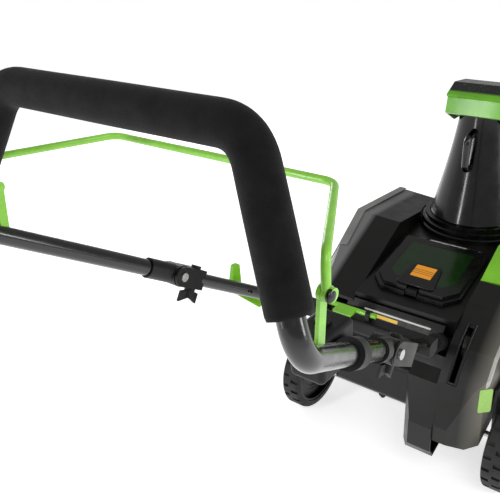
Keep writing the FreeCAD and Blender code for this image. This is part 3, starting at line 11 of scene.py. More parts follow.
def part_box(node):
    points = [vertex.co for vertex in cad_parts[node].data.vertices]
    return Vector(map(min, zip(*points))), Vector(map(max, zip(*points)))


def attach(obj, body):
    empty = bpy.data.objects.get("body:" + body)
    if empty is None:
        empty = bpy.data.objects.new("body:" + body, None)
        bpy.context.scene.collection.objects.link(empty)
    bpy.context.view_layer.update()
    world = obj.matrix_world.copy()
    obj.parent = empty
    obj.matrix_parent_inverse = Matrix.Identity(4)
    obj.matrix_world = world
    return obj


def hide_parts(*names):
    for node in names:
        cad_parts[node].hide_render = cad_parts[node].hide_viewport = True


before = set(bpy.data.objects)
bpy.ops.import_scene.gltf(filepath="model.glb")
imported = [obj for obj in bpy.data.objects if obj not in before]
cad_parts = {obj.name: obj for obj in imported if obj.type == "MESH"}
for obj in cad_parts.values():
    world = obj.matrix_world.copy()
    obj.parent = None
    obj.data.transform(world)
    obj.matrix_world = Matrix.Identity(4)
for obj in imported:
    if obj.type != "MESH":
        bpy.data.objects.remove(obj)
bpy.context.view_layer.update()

GRIP_R = 0.0210           # foam grip
GRIP_BEND = 0.048         # bend of the grip at its two corners
GRIP_LEAN = np.array([0.4121, 0.2504, -0.8763])   # way the grip's left leg runs down
GRIP_POINTS = 170         # rings along the grip
GRIP_SHARE = 0.995        # plain radius of the sleeve, as a share of the CAD grip's
GRIP_SWELL = 0.008        # share by which it swells between the bends
GRIP_PINCH = 0.018        # share by which it pulls in at a bend
GRIP_PINCH_AT = 0.004     # middle of the pinch beyond the corner
GRIP_PINCH_LENGTH = 0.02
GRIP_END_LENGTH = 0.007   # rounded end of the sleeve
GRIP_END_SHARE = 0.62     # radius at the very end
GRIP_POLE_R = 0.0002

CHUTE_FOOT_R = 0.1022     # chute where it leaves its ring
CHUTE_TOP_R = 0.0520
CHUTE_TAPER = 1.35        # power of the chute's narrowing
CHUTE_FOOT_LIFT = 0.0125  # foot of the skin above the foot of the tube
CHUTE_WALL = 0.0035
MOUTH_START = 0.085       # height at which the mouth begins to open
MOUTH_BLEND = 0.07        # height over which it opens
MOUTH_HALF_ANGLE = np.radians(72)
SEAM_HALF_ANGLE = np.radians(0.5)

DISH_R = 0.080            # dish inside a wheel
DISH_DEPTH = 0.007
DISH_WALL = 0.002
DISH_INSET = 0.008        # dish from the middle of the tyre, towards the machine
RIDGE_H = 0.0025          # raised ring on the dish
RIDGE_AT = 0.66
RIDGE_W = 0.05

NUT_R = 0.0064            # bail bolt heads
NUT_H = 0.0048
NUT_SINK = 0.0035         # foot of the head below the end of the bolt
EYE_R = 0.0075            # round end of the bail bracket

PLATEAU_HALF = (0.037, 0.036)
PLATEAU_CORNER = 0.009
PLATEAU_H = 0.0055
PLATEAU_BACK = 0.010      # middle of the plateau behind the middle of its label
PLATEAU_NARROWING = 0.15  # narrower towards the hinge by this share
LABEL_HALF = (0.0225, 0.0185)
LABEL_T = 0.0006
LABEL_LIFT = 0.0034       # label above the middle of the CAD label
CAD_LABEL_T = 0.0007

BADGE_HALF = (0.013, 0.027)
BADGE_T = 0.0012
BADGE_FROM_AXLE = 0.0745  # badge behind the wheel axle
BADGE_RISE = 0.150        # badge above the foot of the cover
BADGE_FACE = np.array([-0.695, 0.718, 0.0])       # way the cover's corner face looks
BADGE_ALONG = np.array([-0.718, -0.695, 0.0])

SLOT_IN = 0.0617          # middle of the cooling slot from the cover's outer side
BEAD_HALF_GAP = 0.0085    # bead either side of the slot's middle
BEAD_R = 0.0019
SLOT_RIDGE = ((0.004, 0.0465), (0.046, 0.0773), (0.0925, 0.1375))   # back from the axle, below the top
BEAD_NORMAL = np.array([0, 0.70, 0.71])

LABEL_LINE_W = 0.0015     # dark lines on the orange label
LABEL_LINE_STEP = 0.0055

LENS = 48.59
SENSOR = 36.0
SHIFT = (-0.0424, 0.0175)
EYE_FROM_AXLE = (-0.50647, 1.10265, 1.06564)      # across, back from the axle, above the ground
EYE_RIGHT = Vector((-0.8007, -0.5978, -0.0374))
EYE_UP = Vector((0.2453, -0.3842, 0.8900))
EYE_BACK = Vector((-0.5465, 0.7035, 0.4543))

FLOOR_HALF = 30.0
FLOOR_GLOW = 0.62
SURROUND_GLOW = 0.42
LAMPS = (
    # name, place, aim, width and height, watts
    ("key", (-1.6, 1.6, 2.6), (0, 0, 0.4), (1.4, 1.0), 24),
    ("strip", (-2.2, -0.4, 1.5), (0, -0.3, 0.4), (0.3, 1.8), 22),
    ("side", (2.4, -1.4, 1.0), (0, -0.2, 0.3), (1.2, 0.8), 16),
    ("chute_strip", (0.78, 1.75, 1.15), (0, -0.45, 0.55), (0.16, 1.3), 12),
)


def middle_of(node):
    """Middle of a CAD node's box."""
    low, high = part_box(node)
    return (np.array(low) + np.array(high)) / 2


# ---- colours and finishes -------------------------------------------------
def tone(red, green, blue):
    """A linear colour from 0 to 255 screen values, by the usual 2.2 power."""
    return tuple((c / 255.0) ** 2.2 for c in (red, green, blue)) + (1.0,)


def scaled(colour, factor):
    """The same colour, lighter or darker, kept within range."""
    return tuple(min(c * factor, 1.0) for c in colour[:3]) + (1.0,)


class Finish:
    """A node material with helpers that place and join its nodes."""

    def __init__(self, name):
        self.material = bpy.data.materials.new(name)
        self.material.use_nodes = True
        self.nodes = self.material.node_tree.nodes
        self.links = self.material.node_tree.links
        self.shader = self.nodes["Principled BSDF"]
        self.place = self.nodes.new("ShaderNodeTexCoord").outputs["Object"]

    def put(self, **values):
        """Sets sockets on the shader, such as Roughness=0.4 or Coat_Weight=0.3."""
        for key, value in values.items():
            self.shader.inputs[key.replace("_", " ")].default_value = value

    def noise(self, scale, detail=4.0, rough=0.5, stretch=None):
        node = self.nodes.new("ShaderNodeTexNoise")
        node.inputs["Scale"].default_value = scale
        node.inputs["Detail"].default_value = detail
        node.inputs["Roughness"].default_value = rough
        source = self.place
        if stretch:
            mapping = self.nodes.new("ShaderNodeMapping")
            mapping.inputs["Scale"].default_value = stretch
            self.links.new(self.place, mapping.inputs["Vector"])
            source = mapping.outputs["Vector"]
        self.links.new(source, node.inputs["Vector"])
        return node.outputs["Fac"]

    def cells(self, scale):
        node = self.nodes.new("ShaderNodeTexVoronoi")
        node.inputs["Scale"].default_value = scale
        self.links.new(self.place, node.inputs["Vector"])
        return node.outputs["Distance"]

    def spread(self, value, low, high, bottom=0.3, top=0.7):
        """Maps a pattern from bottom..top to low..high."""
        node = self.nodes.new("ShaderNodeMapRange")
        self.links.new(value, node.inputs["Value"])
        node.inputs["From Min"].default_value = bottom
        node.inputs["From Max"].default_value = top
        node.inputs["To Min"].default_value = low
        node.inputs["To Max"].default_value = high
        return node.outputs["Result"]

    def between(self, factor, first, second):
        """A colour that goes from first to second with the factor."""
        node = self.nodes.new("ShaderNodeMix")
        node.data_type = "RGBA"
        for socket, value in ((6, first), (7, second)):
            if isinstance(value, tuple):
                node.inputs[socket].default_value = value
            else:
                self.links.new(value, node.inputs[socket])
        self.links.new(factor, node.inputs[0])
        return node.outputs[2]

    def bump(self, height, distance, strength=1.0, under=None):
        node = self.nodes.new("ShaderNodeBump")
        node.inputs["Distance"].default_value = distance
        node.inputs["Strength"].default_value = strength
        self.links.new(height, node.inputs["Height"])
        if under:
            self.links.new(under, node.inputs["Normal"])
        return node.outputs["Normal"]

    def join(self, value, socket):
        self.links.new(value, self.shader.inputs[socket])

    def axis(self, name):
        node = self.nodes.new("ShaderNodeSeparateXYZ")
        self.links.new(self.place, node.inputs["Vector"])
        return node.outputs[name]

    def inside(self, value, low, high):
        """1 where low < value < high, else 0."""
        above = self.nodes.new("ShaderNodeMath")
        above.operation = "GREATER_THAN"
        above.inputs[1].default_value = low
        below = self.nodes.new("ShaderNodeMath")
        below.operation = "LESS_THAN"
        below.inputs[1].default_value = high
        both = self.nodes.new("ShaderNodeMath")
        both.operation = "MULTIPLY"
        self.links.new(value, above.inputs[0])
        self.links.new(value, below.inputs[0])
        self.links.new(above.outputs[0], both.inputs[0])
        self.links.new(below.outputs[0], both.inputs[1])
        return both.outputs[0]


def moulded(name, colour, rough=0.42, grain=0.00008, grain_scale=1500.0, coat=0.0, colour_and_light_zones=()):
    """Moulded plastic: spark-eroded grain, soft flow mottling and rubbed, shinier patches. Each zone
    (axis, start, end, colour) fades to another colour along one axis: either a second colour of the part,
    or a painted highlight where a lamp lights a face."""
    skin = Finish(name)
    flow = skin.noise(14.0, 3.0)
    dust = skin.noise(260.0, 2.0)
    base = skin.between(skin.spread(flow, 0.0, 1.0), scaled(colour, 0.86), scaled(colour, 1.14))
    for axis, start, end, tint in colour_and_light_zones:
        low, high = (0.0, 1.0) if start < end else (1.0, 0.0)
        share = skin.spread(skin.axis(axis), low, high, min(start, end), max(start, end))
        base = skin.between(share, base, tint)
    dusty = skin.spread(dust, 0.0, 0.35, 0.62, 0.8)
    skin.join(skin.between(dusty, base, scaled(colour, 1.9)), "Base Color")
    skin.join(skin.spread(skin.noise(38.0, 5.0, 0.6), rough - 0.06, rough + 0.09), "Roughness")
    wave = skin.bump(skin.noise(24.0, 2.0), 0.0006, 0.25)
    skin.join(skin.bump(skin.noise(grain_scale, 2.0), grain, 1.0, wave), "Normal")
    skin.put(Coat_Weight=coat, Coat_Roughness=0.1, Specular_IOR_Level=0.32)
    return skin.material


def painted(name, colour, rough=0.28):
    """Powder coat on tube or sheet: orange-peel waves, faint rub marks along the metal."""
    skin = Finish(name)
    rub = skin.noise(60.0, 6.0, 0.7, (1.0, 0.15, 1.0))
    worn = skin.spread(rub, 0.0, 1.0, 0.35, 0.75)
    skin.join(skin.between(worn, scaled(colour, 0.9), scaled(colour, 1.25)), "Base Color")
    skin.join(skin.spread(rub, rough - 0.08, rough + 0.14), "Roughness")
    peel = skin.bump(skin.noise(620.0, 1.0), 0.00006, 0.8)
    skin.join(skin.bump(skin.noise(3000.0, 2.0), 0.00001, 0.6, peel), "Normal")
    skin.put(Coat_Weight=0.35, Coat_Roughness=0.15)
    return skin.material


def plated(name, colour, rough=0.3):
    """Zinc-plated steel with fine turning marks and dulled spots."""
    skin = Finish(name)
    marks = skin.noise(900.0, 3.0, 0.6, (0.1, 1.0, 1.0))
    cloud = skin.noise(120.0, 4.0)
    dulled = skin.spread(cloud, 0.0, 1.0)
    skin.join(skin.between(dulled, scaled(colour, 0.75), colour), "Base Color")
    skin.join(skin.spread(cloud, rough - 0.08, rough + 0.15), "Roughness")
    skin.join(skin.bump(marks, 0.00003, 0.7), "Normal")
    skin.put(Metallic=1.0)
    return skin.material


def foamed(name, colour):
    """Closed-cell foam: pin-prick pores over a soft, slightly dusty skin."""
    skin = Finish(name)
    pores = skin.cells(1100.0)
    cloud = skin.noise(45.0, 5.0, 0.6)
    base = skin.between(skin.spread(cloud, 0.0, 1.0), scaled(colour, 0.8), scaled(colour, 1.25))
    wall = skin.spread(pores, 0.0, 0.6, 0.05, 0.5)
    skin.join(skin.between(wall, scaled(colour, 0.55), base), "Base Color")
    skin.join(skin.spread(cloud, 0.72, 0.92), "Roughness")
    lumps = skin.bump(skin.noise(160.0, 3.0), 0.0005, 0.5)
    skin.join(skin.bump(pores, 0.00025, 0.9, lumps), "Normal")
    skin.put(Sheen_Weight=0.05, Sheen_Roughness=0.5, Specular_IOR_Level=0.2)
    return skin.material


def rubbered(name, colour, rough=0.7):
    """Rubber: mould lines' soft ripple, grey bloom and scuffed high spots."""
    skin = Finish(name)
    bloom = skin.noise(30.0, 6.0, 0.65)
    specks = skin.noise(700.0, 3.0)
    bloomed = skin.spread(bloom, 0.0, 1.0, 0.35, 0.7)
    base = skin.between(bloomed, scaled(colour, 0.8), scaled(colour, 1.6))
    scuffed = skin.spread(specks, 0.0, 0.3, 0.55, 0.75)
    skin.join(skin.between(scuffed, base, scaled(colour, 2.4)), "Base Color")
    skin.join(skin.spread(bloom, rough - 0.1, rough + 0.15), "Roughness")
    skin.join(skin.bump(specks, 0.00012, 0.8), "Normal")
    return skin.material


def smoked(name, colour):
    """Smoked clear plastic: deep, smooth and glossy with a faint moulded swirl."""
    skin = Finish(name)
    swirl = skin.noise(22.0, 3.0)
    mixed = skin.spread(swirl, 0.0, 1.0)
    skin.join(skin.between(mixed, scaled(colour, 0.8), scaled(colour, 1.3)), "Base Color")
    skin.join(skin.spread(skin.noise(90.0, 4.0), 0.1, 0.2), "Roughness")
    skin.join(skin.bump(swirl, 0.0004, 0.3), "Normal")
    skin.put(Coat_Weight=0.2, Coat_Roughness=0.06, Specular_IOR_Level=0.3)
    return skin.material


def printed(name, ground, bands):
    """Printed film: a fine dot screen under plain bands, each (axis, low, high, colour)."""
    skin = Finish(name)
    dots = skin.cells(2400.0)
    colour = skin.between(skin.spread(dots, 0.0, 0.25, 0.1, 0.6), ground, scaled(ground, 1.25))
    for axis, low, high, ink in bands:
        colour = skin.between(skin.inside(skin.axis(axis), low, high), colour, ink)
    skin.join(colour, "Base Color")
    skin.join(skin.spread(skin.noise(80.0, 4.0), 0.3, 0.45), "Roughness")
    skin.join(skin.bump(skin.noise(400.0, 2.0), 0.00003, 0.6), "Normal")
    return skin.material


GREEN = tone(118, 186, 46)
DEEP_GREEN = tone(92, 160, 28)
FINE_GRAIN = 1500.0

pod_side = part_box("left_pod")[1][0]
cover_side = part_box("motor_cover")[0][0]
cap_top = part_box("deflector_cap")[1][2]
# Painted highlight: the left pod's outer flank turns light grey towards +X, standing in for lamp light on
# that side.
painted_highlight_flank = ("X", pod_side - 0.085, pod_side - 0.071, tone(104, 104, 104))
# Painted highlight: the motor cover's slanted corner face grows lighter towards -X, standing in for the
# lamp light that falls on it.
painted_highlight_corner = ("X", cover_side + 0.034, cover_side - 0.012, tone(112, 109, 100))
black_top = ("Z", cap_top - 0.015, cap_top - 0.012, tone(9, 9, 9))

body_black = moulded("body_black", tone(13, 13, 12), 0.40)
deck_black = moulded("deck_black", tone(16, 16, 15), 0.34)
lid_black = moulded("lid_black", tone(9, 9, 8), 0.24, 0.00001, FINE_GRAIN, 0.2)
gloss_black = moulded("gloss_black", tone(8, 8, 8), 0.20, 0.00001, FINE_GRAIN, 0.35)
socket_black = moulded("socket_black", tone(6, 6, 6), 0.5)
knob_black = moulded("knob_black", tone(14, 14, 13), 0.5)
pod_black = moulded("pod_black", tone(20, 20, 19), 0.36, colour_and_light_zones=[painted_highlight_flank])
pod_green = moulded("pod_green", GREEN, 0.34, 0.00004, FINE_GRAIN, 0.25)
hood_green = moulded("hood_green", DEEP_GREEN, 0.30, 0.00003, FINE_GRAIN, 0.3)
cap_black = moulded("cap_black", DEEP_GREEN, 0.30, 0.00002, FINE_GRAIN, 0.3, [black_top])
lever_green = moulded("lever_green", GREEN, 0.30, 0.00003, FINE_GRAIN, 0.3)
badge_green = moulded("badge_green", tone(140, 184, 88), 0.34, 0.00002, FINE_GRAIN, 0.3)
cover_gray = moulded("cover_gray", tone(24, 24, 23), 0.34, colour_and_light_zones=[painted_highlight_corner])
panel_gray = moulded("panel_gray", tone(24, 24, 23), 0.42)
trim_silver = moulded("trim_silver", tone(118, 118, 116), 0.38, 0.00004, FINE_GRAIN, 0.2)
rim_silver = moulded("rim_silver", tone(165, 164, 158), 0.32, 0.00004, FINE_GRAIN, 0.2)
battery_shell = moulded("battery_shell", tone(30, 30, 30), 0.5, 0.00012, 900.0)
tube_black = painted("tube_black", tone(13, 13, 12), 0.16)
bracket_black = painted("bracket_black", tone(18, 18, 17), 0.38)
green_wire = painted("green_wire", tone(126, 190, 58), 0.34)
zinc = plated("zinc", tone(190, 190, 188), 0.32)
zinc_dark = plated("zinc_dark", tone(70, 70, 70), 0.35)
cast = plated("cast_metal", tone(150, 150, 150), 0.5)
brass = plated("brass", tone(200, 160, 80), 0.3)
foam = foamed("grip_foam", tone(9, 9, 8))
tyre_rubber = rubbered("tyre_rubber", tone(20, 20, 19), 0.6)
paddle_rubber = rubbered("paddle_rubber", tone(26, 26, 28), 0.6)
window_smoke = smoked("window_smoke", tone(18, 40, 14))

middle_line = middle_of("lid_label")[1] + 0.00117
label_orange = printed("label_orange", tone(232, 150, 34), [
    ("Y", middle_line + step, middle_line + step + LABEL_LINE_W, tone(120, 74, 20))
    for step in (-LABEL_LINE_STEP, 0.0, LABEL_LINE_STEP)
])
strip_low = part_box("label_strip")[0]
label_bands = printed("label_bands", tone(13, 13, 12), [
    ("Z", strip_low[2] + 0.0090, strip_low[2] + 0.0150, tone(226, 180, 44)),
    ("X", strip_low[0] - 0.0040, strip_low[0] + 0.0700, tone(13, 13, 12)),
    ("Z", strip_low[2] + 0.0030, strip_low[2] + 0.0065, tone(178, 30, 28)),
    ("Z", strip_low[2] + 0.0180, strip_low[2] + 0.0210, tone(200, 200, 196)),
])

FINISHES = {
    body_black: [
        "lower_body", "auger_housing", "belt_cover", "battery_tray", "scraper_bar", "fold_knuckles",
        "fold_forks",
    ],
    socket_black: ["tube_sockets", "handle_bridge", "control_box", "switch_box"],
    deck_black: ["deck", "wheel_hub_left", "wheel_hub_right"],
    lid_black: ["battery_lid", "chute_ring"],
    gloss_black: ["chute_tube", "chute_handle"],
    cap_black: ["deflector_cap"],
    pod_black: ["left_pod"],
    pod_green: ["right_pod"],
    hood_green: ["deflector_hood"],
    lever_green: ["battery_button", "cam_lever", "lock_bar"],
    cover_gray: ["motor_cover"],
    panel_gray: ["rear_panel"],
    trim_silver: ["left_trim"],
    rim_silver: ["cover_rim"],
    knob_black: ["knob_left", "knob_right", "start_button", "lid_latch"],
    battery_shell: ["battery_pack"],
    tube_black: ["handle_loop", "lower_tubes"],
    bracket_black: ["axle_brackets"],
    green_wire: ["bail", "bail_brackets"],
    zinc: [
        "axle", "auger_shaft", "auger_bearings", "deflector_bolts", "fold_pins", "lid_hinge_pin",
        "scraper_screws", "motor_can", "motor_pulley", "belt_back_plate",
    ],
    cast: ["auger_pulley", "motor_rotor"],
    brass: ["terminal_block"],
    tyre_rubber: ["tyre_left", "tyre_right", "drive_belt"],
    paddle_rubber: ["auger_paddles"],
    window_smoke: ["lid_window"],
    label_orange: ["lid_label"],
    label_bands: ["label_strip"],
    foam: ["foam_grip"],
}


def dress():
    """Gives each CAD piece its finish."""
    for material, names in FINISHES.items():
        for name in names:
            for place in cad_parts[name].material_slots:
                place.material = material


# ---- mesh helpers ---------------------------------------------------------
def surface(name, grid, material, round_v=False):
    """A mesh of quads over a grid of points (rows, columns, 3), whose rows close up when round_v."""
    rows, columns = grid.shape[:2]
    index = np.arange(rows * columns).reshape(rows, columns)
    if round_v:
        index = np.hstack([index, index[:, :1]])
    corners = [index[:-1, :-1], index[1:, :-1], index[1:, 1:], index[:-1, 1:]]
    quads = np.stack(corners, -1).reshape(-1, 4)
    mesh = bpy.data.meshes.new(name)
    mesh.from_pydata(grid.reshape(-1, 3).tolist(), [], quads.tolist())
    mesh.materials.append(material)
    mesh.shade_smooth()
    piece = bpy.data.objects.new(name, mesh)
    bpy.context.scene.collection.objects.link(piece)
    return piece


def rounded_path(corners, bend, steps=14):
    """Points along straight runs joined by bends: at each corner c the bend is the quadratic blend
    a(1-t)^2 + 2c t(1-t) + b t^2 between the two tangent points a and b."""
    pieces = [corners[:1]]
    for before, corner, after in zip(corners[:-2], corners[1:-1], corners[2:]):
        first = (before - corner) / np.linalg.norm(before - corner)
        second = (after - corner) / np.linalg.norm(after - corner)
        reach = bend * np.tan(0.5 * (np.pi - np.arccos(np.clip(first @ second, -1, 1))))
        t = np.linspace(0, 1, steps)[:, None]
        a, b = corner + first * reach, corner + second * reach
        pieces.append(a * (1 - t) ** 2 + 2 * corner * t * (1 - t) + b * t ** 2)
    pieces.append(corners[-1:])
    return np.vstack(pieces)


def resampled(path, count):
    """The same line with evenly spaced points, and how far along it each one lies."""
    gaps = np.linalg.norm(np.diff(path, axis=0), axis=1)
    along = np.concatenate([[0], np.cumsum(gaps)])
    wanted = np.linspace(0, along[-1], count)
    return np.stack([np.interp(wanted, along, path[:, k]) for k in range(3)], -1), wanted


def tube(path, radius, normal, sides=32):
    """A round section carried along a flat path: centre + r (cos a * normal + sin a * side)."""
    forward = np.gradient(path, axis=0)
    forward /= np.linalg.norm(forward, axis=1)[:, None]
    normal = normal / np.linalg.norm(normal)
    side = np.cross(forward, normal)
    angle = np.linspace(0, 2 * np.pi, sides, endpoint=False)
    ring = np.cos(angle)[None, :, None] * normal + np.sin(angle)[None, :, None] * side[:, None, :]
    return path[:, None, :] + np.asarray(radius)[:, None, None] * ring


# ---- soft grip ------------------------------------------------------------
def foam_sleeve():
    """Foam sleeve: a round section along the grip's bent line; its radius swells by 0.8% between the
    bends, rounds off over 7 mm at each end as a quarter circle, and pulls in where the foam bends."""
    low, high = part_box("foam_grip")
    lean = GRIP_LEAN / np.linalg.norm(GRIP_LEAN)
    rim = GRIP_R * np.sqrt(1 - lean ** 2)
    end = np.array([high[0] - rim[0], high[1] - rim[1], low[2] + rim[2]])
    corner_z = high[2] - GRIP_R
    corner = end - lean * (end[2] - corner_z) / lean[2]
    flip = np.array([-1, 1, 1])
    corners = np.array([end, corner, corner * flip, end * flip])
    path, along = resampled(rounded_path(corners, GRIP_BEND), GRIP_POINTS)
    total = along[-1]
    edge = np.minimum(along, total - along)
    from_bend = np.abs(np.abs(path[:, 0]) - corner[0] - GRIP_PINCH_AT)
    pinch = GRIP_PINCH * np.exp(-(from_bend / GRIP_PINCH_LENGTH) ** 2)
    swell = 1 + GRIP_SWELL * np.sin(np.pi * along / total * 3) ** 2 - pinch
    cap = np.sqrt(np.clip(1 - (1 - np.clip(edge / GRIP_END_LENGTH, 0, 1)) ** 2, 0, 1))
    radius = GRIP_R * GRIP_SHARE * swell * (GRIP_END_SHARE + (1 - GRIP_END_SHARE) * cap)
    radius[[0, -1]] = GRIP_POLE_R
    normal = np.cross(corners[2] - corners[1], corners[1] - corners[0])
    grid = tube(path, radius, normal, 40)
    piece = surface("foam_sleeve", grid, foam, round_v=True)
    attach(piece, "upper_handle")
    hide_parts("foam_grip")


# ---- turned and moulded parts ---------------------------------------------
def turned(radius, height, sides=96):
    """A profile turned about Z: x = r cos a, y = r sin a, z = h, for each point (r, h)."""
    angle = np.linspace(0, 2 * np.pi, sides, endpoint=False)
    ring = np.stack([np.cos(angle), np.sin(angle)], -1)
    flat = radius[:, None, None] * ring[None]
    return np.concatenate([flat, np.broadcast_to(height[:, None, None], (len(radius), sides, 1))], -1)


def chute_skin():
    """Smooth tapered chute with a U-shaped mouth at the front. The radius falls from foot to top as
    top + (foot - top) (1 - t)^1.35; each row spans the angles outside the mouth, whose half
    angle grows as a smooth step over 70 mm of height."""
    low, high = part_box("chute_tube")
    centre = middle_of("chute_tube")
    foot_z, top_z = low[2] + CHUTE_FOOT_LIFT, high[2]
    t = np.linspace(0, 1, 60)
    radius = CHUTE_TOP_R + (CHUTE_FOOT_R - CHUTE_TOP_R) * (1 - t) ** CHUTE_TAPER
    height = foot_z + (top_z - foot_z) * t
    step = np.clip((height - foot_z - MOUTH_START) / MOUTH_BLEND, 0, 1)
    gap = SEAM_HALF_ANGLE + MOUTH_HALF_ANGLE * step ** 2 * (3 - 2 * step)
    sweep = np.linspace(0, 1, 97)[None, :]
    angle = -np.pi / 2 + gap[:, None] + (2 * np.pi - 2 * gap[:, None]) * sweep
    grid = np.stack([
        centre[0] + radius[:, None] * np.cos(angle),
        centre[1] + radius[:, None] * np.sin(angle),
        np.broadcast_to(height[:, None], angle.shape),
    ], -1)
    piece = surface("chute_skin", grid[:, ::-1], gloss_black)
    wall = piece.modifiers.new("Wall", "SOLIDIFY")
    wall.thickness = CHUTE_WALL
    wall.offset = -1.0
    wall.use_even_offset = True
    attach(piece, "chute")
    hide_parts("chute_tube")


def wheel_dish(side):
    """Dished disc inside a wheel: depth (1 - s^2)^2 less a raised ring, a bell curve about two
    thirds of the radius, with s the share of the radius."""
    centre = middle_of("tyre_" + side)
    share = np.linspace(0.0005, 1, 40)
    ridge = RIDGE_H * np.exp(-((share - RIDGE_AT) / RIDGE_W) ** 2)
    depth = DISH_DEPTH * (1 - share ** 2) ** 2 - ridge
    disc = turned(share * DISH_R, depth)
    toward = 1 if side == "right" else -1
    inner_x = centre[0] + toward * DISH_INSET
    across = inner_x - toward * disc[..., 2]
    grid = np.stack([across, centre[1] + disc[..., 0], centre[2] + disc[..., 1]], -1)
    if side == "left":
        grid = grid[:, ::-1]
    piece = surface("wheel_dish_" + side, grid, deck_black, round_v=True)
    wall = piece.modifiers.new("Wall", "SOLIDIFY")
    wall.thickness = DISH_WALL
    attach(piece, "wheel_" + side)


def bail_nut(name, side):
    """Domed bolt head on the X axis at the top of a bail bracket: radius R sin q and height
    h (0.4 + 0.6 cos q), with a short straight skirt."""
    low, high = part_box("bail_brackets")
    end = high[0] if side == 1 else low[0]
    q = np.linspace(0.02, np.pi / 2, 14)
    radii = np.concatenate([NUT_R * np.sin(q), [NUT_R, 0.0004]])
    rise = np.concatenate([NUT_H * (0.4 + 0.6 * np.cos(q)), [0.0, 0.0]])
    disc = turned(radii, rise, 36)
    across = end - side * NUT_SINK + side * disc[..., 2]
    grid = np.stack([across, high[1] - EYE_R + disc[..., 0], high[2] - EYE_R + disc[..., 1]], -1)
    if side == -1:
        grid = grid[:, ::-1]
    piece = surface("bail_nut_" + name, grid, zinc_dark, round_v=True)
    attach(piece, "upper_handle")


def slab(outline, thickness):
    """Rings of an outline drawn in towards its middle, and their heights: a flat back, a straight
    edge, a quarter-round shoulder and a flat top."""
    outline = np.asarray(outline)
    middle = outline.mean(0)
    edge = np.linspace(0, np.pi / 2, 6)
    shoulder = 1 - 0.03 * (1 - np.cos(edge))
    size = np.concatenate([[0.01, 0.98, 1.0], shoulder, np.linspace(0.94, 0.01, 9)])
    rise = np.concatenate([[0, 0, 0.05], 0.6 + 0.4 * np.sin(edge), np.ones(9)])
    flat = middle + (outline[None] - middle) * size[:, None, None]
    return flat, thickness * rise


def rounded_plan(half_x, half_y, corner, steps=8):
    """Outline of a rectangle with round corners: four quarter circles joined by straight edges."""
    quarter = np.linspace(0, np.pi / 2, steps)
    turns = np.concatenate([quarter + k * np.pi / 2 for k in range(4)])
    signs = np.repeat([[1, 1], [-1, 1], [-1, -1], [1, -1]], steps, axis=0)
    middle = signs * [half_x - corner, half_y - corner]
    return middle + corner * np.stack([np.cos(turns), np.sin(turns)], -1)


def plate(name, outline, origin, across, up, out, thickness, material, body):
    """A rounded plate on a sloping face: origin + a * across + b * up + c * out."""
    flat, lift = slab(outline, thickness)
    grid = origin + flat[..., :1] * across + flat[..., 1:] * up + lift[:, None, None] * out
    piece = surface(name, grid, material, round_v=True)
    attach(piece, body)
    return piece


def lid_furniture():
    """Raised black plateau on the battery lid with its orange label on top."""
    low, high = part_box("lid_label")
    rise = (high[2] - low[2] - CAD_LABEL_T) / (high[1] - low[1])
    up = np.array([0, -1, rise]) / np.hypot(1, rise)
    out = np.array([0, rise, 1]) / np.hypot(1, rise)
    across = np.array([-1.0, 0, 0])
    middle = middle_of("lid_label")
    base = middle - out * 0.002 - up * PLATEAU_BACK
    plateau = rounded_plan(*PLATEAU_HALF, PLATEAU_CORNER)
    plateau[:, 0] *= 1 - PLATEAU_NARROWING * plateau[:, 1] / PLATEAU_HALF[1]
    plate("lid_plateau", plateau, base, across, up, out, PLATEAU_H, lid_black, "lid")
    top = middle + out * LABEL_LIFT
    film = rounded_plan(*LABEL_HALF, 0.002)
    label = plate("lid_film", film, top, across, up, out, LABEL_T, label_orange, "lid")
    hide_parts("lid_label")


def badge():
    """Plain pale green plate on the cover's slanted rear corner."""
    low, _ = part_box("motor_cover")
    up = np.array([0.0, 0.0, 1.0])
    axle_y = middle_of("tyre_left")[1]
    middle = np.array([low[0] - BADGE_T, axle_y + BADGE_FROM_AXLE, low[2] + BADGE_RISE])
    plan = rounded_plan(*BADGE_HALF, 0.004)
    plate(
        "cover_badge", plan, middle, BADGE_ALONG, up, BADGE_FACE, BADGE_T, badge_green, "chassis",
    )


def slot_rim():
    """Raised bead round the cover's cooling slot: a round section carried down one side of the slot,
    over the bend in the cover, and back up the other."""
    low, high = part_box("motor_cover")
    axle_y = middle_of("tyre_left")[1]
    slot_x = low[0] + SLOT_IN
    there = np.array([[slot_x - BEAD_HALF_GAP, axle_y + y, high[2] - drop] for y, drop in SLOT_RIDGE])
    back = there[::-1] + [2 * BEAD_HALF_GAP, 0, 0]
    path, _ = resampled(np.vstack([there, back, there[:1]]), 150)
    grid = tube(path, np.full(len(path), BEAD_R), BEAD_NORMAL, 12)
    piece = surface("slot_rim", grid, cover_gray, round_v=True)
    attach(piece, "chassis")


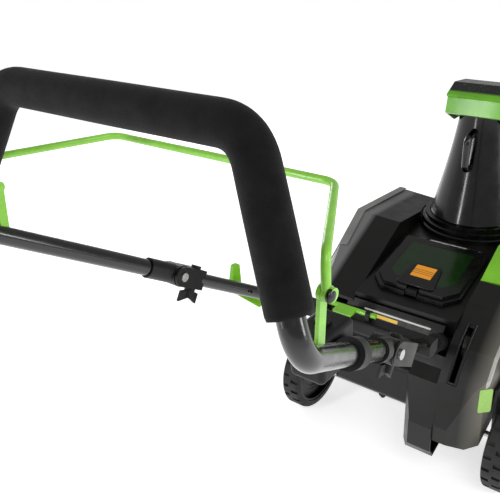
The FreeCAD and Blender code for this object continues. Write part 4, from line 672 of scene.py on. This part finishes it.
# ---- studio ---------------------------------------------------------------
def area_light(name, at, target, size, power):
    """A rectangular lamp at one point, turned to another."""
    light = bpy.data.lights.new(name, "AREA")
    light.shape = "RECTANGLE"
    light.size, light.size_y = size
    light.energy = power
    lamp = bpy.data.objects.new(name, light)
    bpy.context.scene.collection.objects.link(lamp)
    lamp.location = at
    lamp.rotation_euler = (Vector(target) - Vector(at)).to_track_quat("-Z", "Y").to_euler()


def studio():
    """White floor, a soft key over the operator's right shoulder, three fill lights and a surround."""
    mesh = bpy.data.meshes.new("floor")
    far = FLOOR_HALF
    mesh.from_pydata([(-far, -far, 0), (far, -far, 0), (far, far, 0), (-far, far, 0)], [], [(0, 1, 2, 3)])
    floor = bpy.data.objects.new("floor", mesh)
    bpy.context.scene.collection.objects.link(floor)
    paper = Finish("paper")
    paper.put(Base_Color=(0.9, 0.9, 0.9, 1), Roughness=0.9)
    paper.put(Emission_Color=(1, 1, 1, 1), Emission_Strength=FLOOR_GLOW)
    mesh.materials.append(paper.material)
    world = bpy.data.worlds.new("surround")
    world.use_nodes = True
    world.node_tree.nodes["Background"].inputs["Color"].default_value = (1, 1, 1, 1)
    world.node_tree.nodes["Background"].inputs["Strength"].default_value = SURROUND_GLOW
    bpy.context.scene.world = world
    for name, at, target, size, power in LAMPS:
        area_light(name, at, target, size, power)


def camera():
    """Camera behind the operator's right hand, looking down at the machine."""
    lens = bpy.data.cameras.new("camera")
    lens.lens = LENS
    lens.sensor_width = SENSOR
    lens.shift_x, lens.shift_y = SHIFT
    lens.clip_end = 100
    eye = bpy.data.objects.new("camera", lens)
    bpy.context.scene.collection.objects.link(eye)
    turn = Matrix((EYE_RIGHT, EYE_UP, EYE_BACK)).transposed()
    across, behind, above = EYE_FROM_AXLE
    place = Matrix.Translation((across, middle_of("tyre_left")[1] + behind, above))
    eye.matrix_world = place @ turn.to_4x4()
    bpy.context.scene.camera = eye


bpy.context.scene.view_settings.view_transform = "Standard"
dress()
foam_sleeve()
chute_skin()
wheel_dish("left")
wheel_dish("right")
bail_nut("left", 1)
bail_nut("right", -1)
lid_furniture()
badge()
slot_rim()
studio()
camera()
